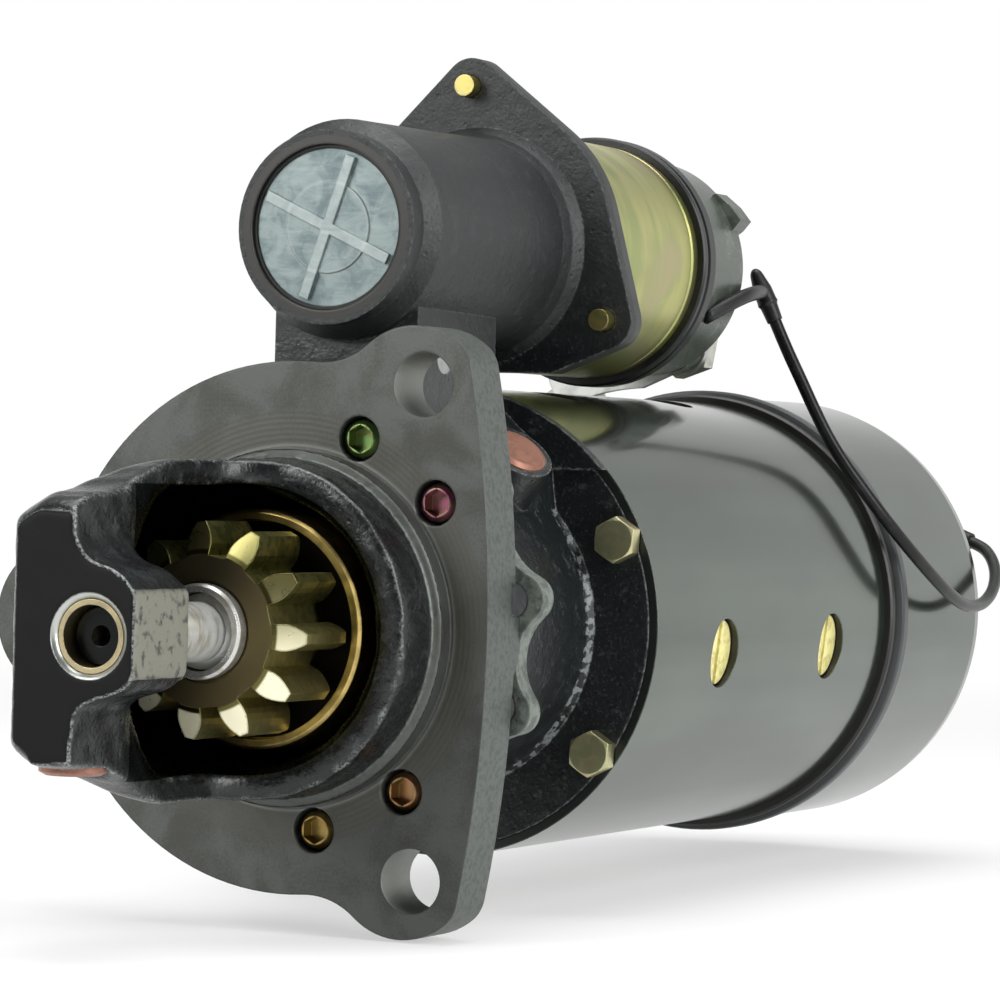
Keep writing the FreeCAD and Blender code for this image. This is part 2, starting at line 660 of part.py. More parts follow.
def pinion_stop():
    return turned([(shaft_r + 0.4, pinion_y[0] - 3.4), (11.3, pinion_y[0] - 3.4), (12.0, pinion_y[0] - 2.7),
                   (12.0, pinion_y[0] + 0.55), (shaft_r + 0.4, pinion_y[0] + 0.55)])


def clutch_shell():
    """The driving shell, and the cover that closes its front."""
    cover = turned([(17.5, -16.4), (27.9, -16.4), (27.9, -14.2), (25.0, -13.2), (17.5, -13.2)])
    shell = turned([(28.0, clutch_y[0]), (clutch_r - 0.8, clutch_y[0]), (clutch_r, clutch_y[0] + 0.8),
                   (clutch_r, clutch_y[1] - 2), (clutch_r - 2, clutch_y[1]), (14.0, clutch_y[1]),
                   (14.0, 8.6), (25.5, 8.6), (25.5, -13), (28.0, -14.1)])
    return shell, cover


def clutch_rollers():
    return [cyl(3.9, -12.6, 8.2, *polar(21.4, angle)) for angle in evenly(5, 10)]


def shift_collar():
    lip = 8.0
    half = 4.4
    return turned([(13.95, groove_y - lip), (24.0, groove_y - lip), (24.0, groove_y - half),
                   (17.2, groove_y - half), (17.2, groove_y + half), (24.0, groove_y + half),
                   (24.0, groove_y + lip), (13.95, groove_y + lip)])


pinion_phase = 63.5
save("pinion", pinion())
save("pinion_stop_ring", pinion_stop())
save("clutch_shell", *clutch_shell())
save("clutch_rollers", *clutch_rollers())
save("drive_sleeve", tube(13.9, shaft_r + 0.06, 9.0, 64.5))
save("drive_spring", spring(18.0, 1.6, clutch_y[1] + 0.4, groove_y - 8.4, 5))
save("shift_collar", shift_collar())


# Solenoid

battery_stud_place = (-9.5, solenoid_z + 22.5)
motor_stud_place = (9.0, solenoid_z - 23.0)
strap_y = cap_rear_y + 4.1
boot_arm = ((29.5, 204.5, 89.0), (34.7, 214.0, 94.2), (35.5, 229.0, 97.6), (29.6, 250.0, 98.6))
boot_arm_r = 2.2
# Distance back from the lead's start, and the radius there
boot_sleeve = ((0.0, 2.5), (6.0, 3.2), (10.4, 2.9), (17.2, 1.5))


def solenoid_case():
    return turned([(can_r - 2.4, can_y), (can_r, can_y), (can_r, 181.2), (can_r - 0.5, 181.6),
                   (can_r - 0.5, 182.4), (can_r, 182.8), (can_r, can_end_y), (can_r - 2.4, can_end_y)],
                  0, solenoid_z)


def solenoid_flange():
    plate = solenoid_plate(plate_mid_y, can_y)
    middle_hole = cyl(13.15, plate_mid_y - 1, can_y + 1, 0, solenoid_z)
    return plate.cut([middle_hole] + plate_bolt_holes(3.2, 105, 115))


def solenoid_bolts():
    bolts = []
    for angle in plate_angles:
        x, z = polar(plate_bolt_circle_r, angle, 0, solenoid_z)
        head = hexagon(10.0, can_y, can_y + 4.2, x, z, angle)
        bolts.append(head.fuse(cyl(3.0, plate_y - 4.5, can_y + 1, x, z)))
    return bolts


def solenoid_cap():
    shell = turned([(0, cap_rear_y), (29.0, cap_rear_y), (31.6, cap_rear_y - 1.4), (32.6, cap_rear_y - 4),
                    (solenoid_cap_r, cap_front_y + 1), (solenoid_cap_r, cap_front_y + 0.02),
                    (31.8, cap_front_y + 0.02), (31.8, 186.6), (28.6, 186.6), (28.6, 222), (0, 222)],
                   0, solenoid_z)
    corners = ((30.0, 19.0), (33.0, 20.5), (36.5, 23.5), (35.4, 32.0), (33.9, 41.7), (30.0, 44.0))
    tab = prism([polar(r, angle, 0, solenoid_z) for r, angle in corners], cap_rear_y - 9, cap_rear_y - 0.5)
    stud_places = (battery_stud_place, motor_stud_place)
    towers = [cyl(8.0, cap_rear_y - 2, cap_rear_y + 4, *place) for place in stud_places]
    holes = [cyl(4.05, 180, 260, *place) for place in stud_places]
    return fuse([shell, tab] + towers).cut(holes)


def lead_boot():
    """Rubber boot: an arm across the cap's side, and a sleeve down over the start of the lead."""
    arm = swept_tube(rounded_path(boot_arm)[0], boot_arm_r, boot_arm)
    sleeve = turned([(0, 0)] + [(radius, -back) for back, radius in boot_sleeve] + [(0, -boot_sleeve[-1][0])])
    lead_start = Vector(*lead_route[0])
    heading = (Vector(*lead_route[1]) - lead_start).normalize()
    sleeve.Placement = FreeCAD.Placement(lead_start, FreeCAD.Rotation(along, heading))
    return arm.cut(cyl(solenoid_cap_r + 0.05, 190, cap_rear_y + 0.1, 0, solenoid_z)).fuse(sleeve)


def contact_stud(x, z):
    """Threaded stud with its contact block inside the cap."""
    angle = math.degrees(math.atan2(z - solenoid_z, x))
    block = spin(box(14, 27.5, 186.2, 190.2, solenoid_z - 6, solenoid_z + 6), angle, 0, solenoid_z)
    return block.fuse(cyl(4.0, 189, 252, x, z))


def hex_nut(x, z, y0, y1, across, bore):
    return hexagon(across, y0, y1, x, z, 20).cut(cyl(bore, y0 - 1, y1 + 1, x, z))


def link_strap():
    """Flat bar from the motor stud, bent to lie under the nut of the field stud."""
    x0, z0 = motor_stud_place
    x1, z1 = polar(field_seat_r + 2.4, field_stud_angle)
    start = Vector(x0, 0, z0)
    run = Vector(x1, 0, z1) - start
    side = Vector(-run.z, 0, run.x).normalize() * 7.0
    corners = [start + side, start - side, start + run - side, start + run + side]
    bar = face_of([Vector(c.x, strap_y, c.z) for c in corners]).extrude(Vector(0, 2.5, 0))
    bar = bar.fuse(cyl(9.0, strap_y, strap_y + 2.5, x0, z0)).cut(cyl(4.1, 230, 240, x0, z0))
    foot = box(field_seat_r, field_seat_r + 2.4, strap_y, strap_y + 20, -8, 8)
    foot = spin(foot, field_stud_angle)
    bar = bar.cut(cyl(field_seat_r, 220, 250))
    return bar.fuse(foot).cut(radial_rod(4.1, 60, 80, field_stud_angle, field_stud_y))


def field_insulator():
    collar = radial_rod(9.0, frame_r - 0.5, field_seat_r - 0.02, field_stud_angle, field_stud_y)
    sleeve = radial_rod(5.9, frame_bore_r + 0.3, frame_r, field_stud_angle, field_stud_y)
    body = collar.cut(cyl(frame_r + 0.02, 220, 270)).fuse(sleeve)
    return body.cut(radial_rod(4.03, 50, 80, field_stud_angle, field_stud_y))


def field_nut():
    nut = hexagon(13.0, 0, 5.4).cut(cyl(4.03, -1, 7))
    nut.rotate(Vector(0, 0, 0), Vector(0, 0, 1), -90)
    nut.translate(Vector(field_seat_r + 2.45, field_stud_y, 0))
    return spin(nut, field_stud_angle)


def rubber_ring():
    front, rear = rubber_y
    seat = can_end_y + 0.02
    profile = [(can_r + 0.02, front), (36.2, front), (rubber_r, 186.6), (rubber_r, 188.2), (35.7, 188.8),
               (35.7, 189.6), (rubber_r, 190.2), (rubber_r, 194.2), (36.0, rear), (31.9, rear), (31.9, seat),
               (can_r + 0.02, seat)]
    return turned(profile, 0, solenoid_z)


def plunger():
    barrel = cyl(11.9, pin_y + 18, 148, 0, solenoid_z)
    link = box(-9, 9, pin_y - 9, pin_y + 20, solenoid_z - 7, solenoid_z + 7)
    pocket = box(-3.2, 3.2, pin_y - 4.35, pin_y + 4.35, solenoid_z - 10, solenoid_z + 10)
    spring_seat = tube(19.0, 9.0, 82, 84.5, 0, solenoid_z)
    return fuse([barrel, link]).cut(pocket).fuse(spring_seat)


def solenoid_coil():
    """Winding on its brass guide tube, which the plunger runs in."""
    winding = tube(31.6, 13.0, can_y + 4.5, 170, 0, solenoid_z)
    return winding.fuse(tube(13.1, 12.0, plate_mid_y, 172, 0, solenoid_z))


def contact_disc():
    """Copper disc on the push rod that the plunger meets."""
    return tube(21.0, 2.5, 180.0, 182.6, 0, solenoid_z), cyl(2.48, 154.3, 184.4, 0, solenoid_z)


save("solenoid_case", solenoid_case())
save("solenoid_flange", solenoid_flange())
save("solenoid_bolts", *solenoid_bolts())
save("solenoid_ring", rubber_ring())
save("solenoid_cap", solenoid_cap())
save("solenoid_coil", solenoid_coil())
save("solenoid_core", tube(31.8, 2.95, 172.1, 177, 0, solenoid_z).fuse(
    tube(11.95, 2.95, 158.0, 172.2, 0, solenoid_z)))
save("plunger", plunger())
save("return_spring", spring(16.2, 1.4, 84.9, plate_mid_y - 0.4, 4, 0, solenoid_z))
save("contact_disc", *contact_disc())
save("terminal_studs", contact_stud(*battery_stud_place), contact_stud(*motor_stud_place))
save("link_strap", link_strap())
save("field_stud", radial_rod(4.0, frame_bore_r - 0.1, 82, field_stud_angle, field_stud_y))
save("field_stud_insulator", field_insulator())
save("lead_boot", lead_boot())


# End cap, brush gear and terminals

brush_angles = evenly(4, 38.3)
ground_stud_place = (41.0, 22.0)


def end_cap():
    outer = [(0, cap_end_y)]
    for i in range(7):
        a = math.radians(90 - 15 * i)
        outer.append((cap_r - cap_corner_r + cap_corner_r * math.cos(a),
                      cap_end_y - cap_corner_r + cap_corner_r * math.sin(a)))
    outer += [(cap_r, band_end_y), (62.0, band_end_y)]
    inner_corner = cap_corner_r - cap_wall
    for i in range(7):
        a = math.radians(15 * i)
        outer.append((62.0 - inner_corner + inner_corner * math.cos(a),
                      cap_end_y - cap_corner_r + inner_corner * math.sin(a)))
    outer.append((0, cap_end_y - cap_wall))
    body = turned(outer)
    hub = tube(16.0, 10.0, 328, cap_end_y - cap_wall + 1)
    posts = [tube(6.0, 2.6, 316, cap_end_y - cap_wall + 1, *polar(end_bolt_circle_r, angle))
             for angle in end_bolt_angles]
    cuts = [cyl(10.0, 328, 356), cyl(13.0, 364.5, 370), cyl(3.0, 350, 370, *ground_stud_place)]
    cuts += [cyl(2.6, 310, 370, *polar(end_bolt_circle_r, angle)) for angle in end_bolt_angles]
    return fuse([body, hub] + posts).cut(cuts)


def end_cap_bolt(angle):
    x, z = polar(end_bolt_circle_r, angle)
    head = hexagon(8.0, cap_end_y, cap_end_y + 3.6, x, z, angle)
    return head.fuse(cyl(2.45, 263, cap_end_y + 1, x, z))


def brush(angle):
    block = box(commutator_r - 3, 42, brush_y[0], brush_y[1], -5, 5).cut(cyl(commutator_r + 0.06, 270, 320))
    return spin(block, angle)


def brush_holder(angle):
    outside = box(27.5, 52, brush_y[0] - 2.4, 312, -7.4, 7.4)
    inside = box(20, 50, brush_y[0] - 0.3, brush_y[1] + 0.3, -5.3, 5.3)
    return spin(outside.cut(inside), angle)


def brush_spring(angle):
    coil = spring(3.4, 0.6, 42.3, 49.8, 5)
    coil.rotate(Vector(0, 0, 0), Vector(0, 0, 1), -90)
    coil.translate(Vector(0, sum(brush_y) / 2, 0))
    return spin(coil, angle)


def brush_plate():
    plate = tube(56.0, 28.0, 312.05, 315.0)
    holes = [cyl(2.6, 300, 330, *polar(end_bolt_circle_r, angle)) for angle in end_bolt_angles]
    return plate.cut(holes)


def ground_terminal():
    """Ring terminal on the rear stud, with its crimped barrel turned towards the lead."""
    x, z = ground_stud_place
    y0 = cap_end_y + 4.2
    ring = cyl(6.0, y0, y0 + 1.2, x, z)
    tongue = box(x, x + 8.2, y0, y0 + 1.2, z - 2.4, z + 2.9)
    return ring.fuse(tongue).cut(cyl(3.05, y0 - 1, y0 + 3, x, z))


def terminal_boot():
    end = Vector(*lead_route[-1])
    before = Vector(*lead_route[-2])
    heading = (before - end).normalize()
    body = Part.makeCone(3.6, 2.7, 9.0, end - heading * 4.5, heading)
    body = body.cut(Part.makeCylinder(lead_r + 0.02, 10, end, heading))
    x, z = ground_stud_place
    return body.cut(box(x - 10, x + 8.3, cap_end_y + 4.1, cap_end_y + 5.5, z - 10, z + 10))


def ground_stud():
    x, z = ground_stud_place
    seat = hexagon(11.0, cap_end_y, cap_end_y + 4.15, x, z, 15)
    return seat.fuse(cyl(2.98, 356, cap_end_y + 15, x, z))


def terminal_nuts():
    nuts = [hex_nut(*battery_stud_place, y, y + 6.4, 16.0, 4.03) for y in (strap_y, strap_y + 8)]
    nuts.append(hex_nut(*motor_stud_place, strap_y + 2.6, strap_y + 9.2, 17.0, 4.03))
    nuts.append(field_nut())
    nuts.append(hex_nut(*ground_stud_place, cap_end_y + 5.5, cap_end_y + 10, 10.0, 3.02))
    return nuts


def lead():
    path, radii = rounded_path(lead_route)
    body = swept_tube(path, lead_r, lead_route)
    print("lead radii", radii, "length", round(path.Length, 1))
    print("lead volume", round(body.Volume), "section x length", round(math.pi * lead_r ** 2 * path.Length))
    return body


save("end_cap", end_cap())
save("end_cap_bolts", *[end_cap_bolt(angle) for angle in end_bolt_angles])
save("inner_bushings", tube(12.5, 10.05, 75, 99), tube(9.98, bush_bore_r, 330, 355.5))
save("rear_oil_plug", cyl(12.98, 364.6, 366.6))
save("brush_plate", brush_plate())
save("brushes", *[brush(angle) for angle in brush_angles])
save("brush_holders", *[brush_holder(angle) for angle in brush_angles])
save("brush_springs", *[brush_spring(angle) for angle in brush_angles])
save("ground_stud", ground_stud())
save("terminal_nuts", *terminal_nuts())
save("ground_terminal", ground_terminal())
save("terminal_boot", terminal_boot())
save("ground_lead", lead())
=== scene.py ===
import bmesh
import bpy
import math
import numpy as np
from mathutils import Matrix, Vector


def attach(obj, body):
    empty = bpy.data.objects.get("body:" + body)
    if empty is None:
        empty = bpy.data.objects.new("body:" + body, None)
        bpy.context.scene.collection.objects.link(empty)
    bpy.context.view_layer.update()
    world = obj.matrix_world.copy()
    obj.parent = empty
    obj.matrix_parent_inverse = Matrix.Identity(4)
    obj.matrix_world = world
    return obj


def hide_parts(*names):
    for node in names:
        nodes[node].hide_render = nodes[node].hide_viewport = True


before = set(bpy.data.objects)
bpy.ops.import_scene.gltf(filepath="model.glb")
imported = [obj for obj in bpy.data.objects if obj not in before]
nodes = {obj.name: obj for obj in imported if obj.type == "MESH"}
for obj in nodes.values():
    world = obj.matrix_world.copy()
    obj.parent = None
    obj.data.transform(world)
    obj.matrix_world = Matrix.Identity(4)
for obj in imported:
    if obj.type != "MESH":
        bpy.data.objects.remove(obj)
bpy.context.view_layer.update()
print("frame loaded:", len(nodes), "nodes")


# Shader tools. Coordinates are millimetres on the object.

class Wire:  # wraps a socket, so that maths on it adds the Math nodes
    def __init__(self, paint, socket):
        self.paint, self.socket = paint, socket

    def math(self, operation, other=0.0, flip=False):
        pair = [other, self] if flip else [self, other]
        return self.paint.node("ShaderNodeMath", {"operation": operation}, pair)

    def __add__(self, other): return self.math("ADD", other)
    def __radd__(self, other): return self.math("ADD", other, True)
    def __sub__(self, other): return self.math("SUBTRACT", other)
    def __rsub__(self, other): return self.math("SUBTRACT", other, True)
    def __mul__(self, other): return self.math("MULTIPLY", other)
    def __rmul__(self, other): return self.math("MULTIPLY", other, True)
    def __truediv__(self, other): return self.math("DIVIDE", other)
    def __rtruediv__(self, other): return self.math("DIVIDE", other, True)
    def __pow__(self, other): return self.math("POWER", other)
    def __gt__(self, other): return self.math("GREATER_THAN", other)
    def __lt__(self, other): return self.math("LESS_THAN", other)
    def __neg__(self): return self.math("MULTIPLY", -1.0)
    def __abs__(self): return self.math("ABSOLUTE")


class Paint:  # one material and its nodes
    def __init__(self, name):
        self.material = bpy.data.materials.new(name)
        self.material.use_nodes = True
        self.tree = self.material.node_tree
        self.tree.nodes.clear()
        place = self.node("ShaderNodeTexCoord", out="Object")
        self.mm = self.node("ShaderNodeVectorMath", {"operation": "SCALE"}, {0: place, 3: 1000.0})
        self.x, self.y, self.z = self.split(self.mm)
        facing = self.node("ShaderNodeTexCoord", out="Normal")
        self.nx, self.ny, self.nz = self.split(facing)

    def node(self, kind, settings=None, inputs=None, out=0):
        made = self.tree.nodes.new(kind)
        for key, value in (settings or {}).items():
            if key == "stops":
                ramp = made.color_ramp.elements
                while len(ramp) < len(value):
                    ramp.new(1.0)
                for element, (place, color) in zip(ramp, value):
                    element.position, element.color = place, (*color, 1.0)
            else:
                setattr(made, key, value)
        pairs = enumerate(inputs) if isinstance(inputs, list) else (inputs or {}).items()
        for key, value in pairs:
            if isinstance(value, Wire):
                self.tree.links.new(value.socket, made.inputs[key])
            else:
                made.inputs[key].default_value = value
        return Wire(self, made.outputs[out]) if made.outputs else None

    def split(self, vector):
        kind = "ShaderNodeSeparateXYZ"
        first = self.node(kind, None, [vector])
        return [Wire(self, socket) for socket in first.socket.node.outputs]

    def join(self, x, y, z):
        return self.node("ShaderNodeCombineXYZ", None, [x, y, z])

    def color(self, value):
        return (*value, 1.0) if not isinstance(value, Wire) else value

    def mix(self, a, b, factor):  # colour a where factor is 0, b where it is 1
        return self.node("ShaderNodeMix", {"data_type": "RGBA"},
                         {0: factor, 6: self.color(a), 7: self.color(b)}, out=2)

    def fade(self, value, low, high):  # 0 below low, 1 above high, smooth between
        return self.node("ShaderNodeMapRange", {"interpolation_type": "SMOOTHSTEP"},
                         {0: value, 1: low, 2: high, 3: 0.0, 4: 1.0})

    def noise(self, size, detail=3.0, rough=0.5, where=None, warp=0.0):  # size of a feature in mm
        values = {"Vector": where or self.mm, "Scale": 1.0 / size, "Detail": detail, "Roughness": rough}
        return self.node("ShaderNodeTexNoise", None, {**values, "Distortion": warp})

    def cells(self, size):  # distance from the centre of a random cell
        values = {"Vector": self.mm, "Scale": 1.0 / size}
        return self.node("ShaderNodeTexVoronoi", {"feature": "F1"}, values, out="Distance")

    def ramp(self, value, stops):
        return self.node("ShaderNodeValToRGB", {"stops": stops}, [value])

    def radius(self, z0=0.0):  # distance from an axis along Y at height z0
        up = self.z - z0
        return (self.x * self.x + up * up) ** 0.5

    def angle(self, z0=0.0):  # turn about the axis, radians
        return (self.z - z0).math("ARCTAN2", self.x)

    def edges(self, reach):  # 0 on plain faces, up to about 0.3 on a sharp edge, felt over reach mm
        rounded = self.node("ShaderNodeBevel", {"samples": 6}, {"Radius": reach / 1000.0})
        plain = self.node("ShaderNodeNewGeometry", out="Normal")
        dot = {"operation": "DOT_PRODUCT"}
        return 1.0 - self.node("ShaderNodeVectorMath", dot, [rounded, plain], out="Value")

    def finish(self, color, roughness, metallic, bump, depth, soften,
               coat=0.0, coatRoughness=0.1, specular=0.5):
        # depth of the bump and softening of the edges are in mm
        inputs = {"Height": bump, "Strength": 1.0, "Distance": depth / 1000.0}
        if soften:
            inputs["Normal"] = self.node("ShaderNodeBevel", {"samples": 4}, {"Radius": soften / 1000.0})
        values = {"Base Color": self.color(color), "Roughness": roughness, "Metallic": metallic,
                  "Coat Weight": coat, "Coat Roughness": coatRoughness, "Specular IOR Level": specular,
                  "Normal": self.node("ShaderNodeBump", None, inputs)}
        shader = self.node("ShaderNodeBsdfPrincipled", None, values)
        self.node("ShaderNodeOutputMaterial", None, [shader])
        return self.material


# The camera stands at the place worked out from the photograph.
cameraView = {"place": (0.537495, -1.035804, 0.041566), "azimuth": 24.8023, "elevation": 0.3541,
              "roll": 1.5347, "lens": 162.8054, "sensor": 36.0, "clip": (0.01, 30.0)}


def placeCamera(view):
    turn, rise, roll = (math.radians(view[key]) for key in ("azimuth", "elevation", "roll"))
    back = Vector((math.sin(turn) * math.cos(rise), -math.cos(turn) * math.cos(rise), math.sin(rise)))
    right = (-back).cross(Vector((0, 0, 1))).normalized()
    up = right.cross(-back)
    across = right * math.cos(roll) + up * math.sin(roll)
    over = up * math.cos(roll) - right * math.sin(roll)
    data = bpy.data.cameras.new("camera")
    data.sensor_width, data.lens = view["sensor"], view["lens"]
    data.clip_start, data.clip_end = view["clip"]
    camera = bpy.data.objects.new("camera", data)
    bpy.context.scene.collection.objects.link(camera)
    facing = Matrix((across, over, back)).transposed().to_4x4()
    camera.matrix_world = Matrix.Translation(view["place"]) @ facing
    bpy.context.scene.camera = camera


placeCamera(cameraView)


def gridMesh(name, points, caps=False):
    # points[i, j] is a surface point in metres: i runs round and closes, j runs along
    rows, columns = points.shape[:2]
    index = np.arange(rows * columns).reshape(rows, columns)
    index = np.concatenate([index, index[:1]])
    quads = np.stack([index[:-1, :-1], index[1:, :-1], index[1:, 1:], index[:-1, 1:]], axis=-1)
    faces = quads.reshape(-1, 4).tolist()
    if caps:
        rim = np.arange(rows) * columns
        faces += [rim[::-1].tolist(), (rim + columns - 1).tolist()]
    mesh = bpy.data.meshes.new(name)
    mesh.from_pydata(points.reshape(-1, 3).tolist(), [], faces)
    mesh.validate()
    mesh.shade_smooth()
    piece = bpy.data.objects.new(name, mesh)
    bpy.context.scene.collection.objects.link(piece)
    return piece


def splinePoints(route):
    # points read from the smooth line of a curve, with its bevel set aside
    data = route.data.copy()
    data.bevel_depth = 0.0
    bare = bpy.data.objects.new("lineOnly", data)
    bpy.context.scene.collection.objects.link(bare)
    bpy.context.view_layer.update()
    mesh = bpy.data.meshes.new_from_object(bare.evaluated_get(bpy.context.evaluated_depsgraph_get()))
    flat = np.zeros(len(mesh.vertices) * 3)
    mesh.vertices.foreach_get("co", flat)
    bpy.data.objects.remove(bare)
    bpy.data.meshes.remove(mesh)
    return flat.reshape(-1, 3)


def sweep(line, radii, sides):
    # a ring stands square on each point p of the line: p + r (cos t * across + sin t * over)
    aside = (0.35, 0.2, 0.9)  # never along the line
    step = np.gradient(line, axis=0)
    step /= np.linalg.norm(step, axis=1)[:, None]
    across = np.cross(step, aside)
    across /= np.linalg.norm(across, axis=1)[:, None]
    over = np.cross(step, across)
    t = np.linspace(0, 2 * np.pi, sides, endpoint=False)[:, None, None]
    return line + radii[None, :, None] * (np.cos(t) * across + np.sin(t) * over)


# The ground lead and its boot, in metres. The route's points are those of part.py.
groundLead = {
    "radius": 0.00195,
    "route": (
        (0.0340, 0.2500, 0.0898), (0.0376, 0.2505, 0.0817), (0.0421, 0.2515, 0.0726),
        (0.0460, 0.2530, 0.0639), (0.0505, 0.2543, 0.0549), (0.0558, 0.2558, 0.0465),
        (0.0612, 0.2588, 0.0386), (0.0662, 0.2636, 0.0306), (0.0698, 0.2708, 0.0236),
        (0.0728, 0.2800, 0.0168), (0.0747, 0.2910, 0.0108), (0.0753, 0.3030, 0.0062),
        (0.0750, 0.3150, 0.0036), (0.0745, 0.3270, 0.0030), (0.0738, 0.3385, 0.0043),
        (0.0728, 0.3490, 0.0078), (0.0704, 0.3586, 0.0126), (0.0664, 0.3664, 0.0178),
        (0.0606, 0.3716, 0.0220), (0.0526, 0.3730, 0.0240)),
    "arm": ((0.0295, 0.2045, 0.0890), (0.0347, 0.2140, 0.0942), (0.0355, 0.2290, 0.0976),
            (0.0296, 0.2500, 0.0986)),
    "armRadius": 0.0022, "armSides": 28,
    "sleeve": ((0.0, 0.0024), (0.0050, 0.0027), (0.0058, 0.0032), (0.0068, 0.0030), (0.0104, 0.0029),
               (0.0150, 0.0020), (0.0172, 0.0014)),  # distance back from the lead's start, radius
    "sleeveRings": 48, "sleeveSides": 32, "tipRounding": (0.96, 0.88, 0.72, 0.40)}


def makeTube(name, route, radius):
    data = bpy.data.curves.new(name, "CURVE")
    data.dimensions = "3D"
    spline = data.splines.new("NURBS")
    spline.points.add(len(route) - 1)
    for point, place in zip(spline.points, route):
        point.co = (*place, 1.0)
    spline.order_u = 3
    spline.use_endpoint_u = True
    data.resolution_u = 8
    data.bevel_depth = radius
    data.bevel_resolution = 6
    data.use_fill_caps = True
    tube = bpy.data.objects.new(name, data)
    bpy.context.scene.collection.objects.link(tube)
    return tube


leadCord = makeTube("ground_lead_cord", groundLead["route"], groundLead["radius"])
leadLine = splinePoints(leadCord)
leadLength = float(np.linalg.norm(np.diff(leadLine, axis=0), axis=1).sum())
print("lead length", round(leadLength * 1000, 1), "mm")


def dress(piece, material):  # every slot of the piece takes the material
    if not piece.material_slots:
        piece.data.materials.append(material)
    for place in piece.material_slots:
        place.material = material


def carry(piece, body, material, slotName, *stands):
    # a new piece rides on its body, takes its finish, and stands for the nodes it replaces
    dress(piece, material)
    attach(piece, body)
    if stands:
        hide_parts(*stands)
    return piece


# Finishes. Places in their dictionaries are millimetres: Y along the shaft, R from the axis, pairs are fades.

solenoidZ = 104.2  # height of the solenoid's axis


def castPaint(name, dark, pale, grain):
    # glossy black over a sand casting: lumps, grain and pits; chips is 1 where an edge has lost its paint
    paint = Paint(name)
    fine = paint.noise(grain, 3.0, 0.6)
    coarse = paint.noise(grain * 5.0, 2.0, 0.5)
    pits = paint.fade(paint.cells(grain * 3.6), 0.06, 0.22)
    height = fine * 0.5 + coarse + pits * 0.3
    color = paint.mix(dark, pale, paint.fade(fine * 0.6 + coarse * 0.55, 0.62, 0.76))
    edge = paint.edges(1.0) + coarse * 0.1 - 0.05
    chips = paint.fade(edge, 0.035, 0.11) * paint.fade(fine, 0.42, 0.6)
    gloss = 0.25 + fine * 0.2 + chips * 0.2
    return paint, color, gloss, height, chips


noseLook = {
    "paint": (0.005, 0.006, 0.0065), "paintPale": (0.020, 0.024, 0.024), "grain": 1.3,
    "worn": (0.27, 0.30, 0.285), "face": (0.100, 0.106, 0.098), "stain": (0.068, 0.070, 0.063),
    "edge": (0.122, 0.136, 0.124), "edgeDark": (0.088, 0.098, 0.090), "rings": (0.086, 0.083, 0.072),
    "wall": (0.26, 0.27, 0.25), "end": (0.016, 0.0165, 0.016), "pad": (0.20, 0.20, 0.165),
    "padDark": (0.05, 0.052, 0.046), "hollow": (0.003, 0.0045, 0.005), "mouth": (0.50, 0.52, 0.49),
    "flangeY": (-7.2, -6.6), "faceR": (43.9, 44.3), "pilotR": (44.2, 47.6), "ringInR": (46.2, 47.0),
    "ringOutR": (54.0, 57.5), "stepInR": (46.6, 47.0), "stepOutR": (47.0, 47.8),
    "earHoleX": 36.51, "earHoleZ": 63.24, "earHoleR": 8.775, "endY": -102.4,
    "padX": 11.6, "padY": -74.0, "padZ": 1.0, "padHalf": 11.5,
    "hollowR": 36.9, "hollowY": (-72.9, 23.0), "mouthR": 10.6, "mouthY": -73.0}


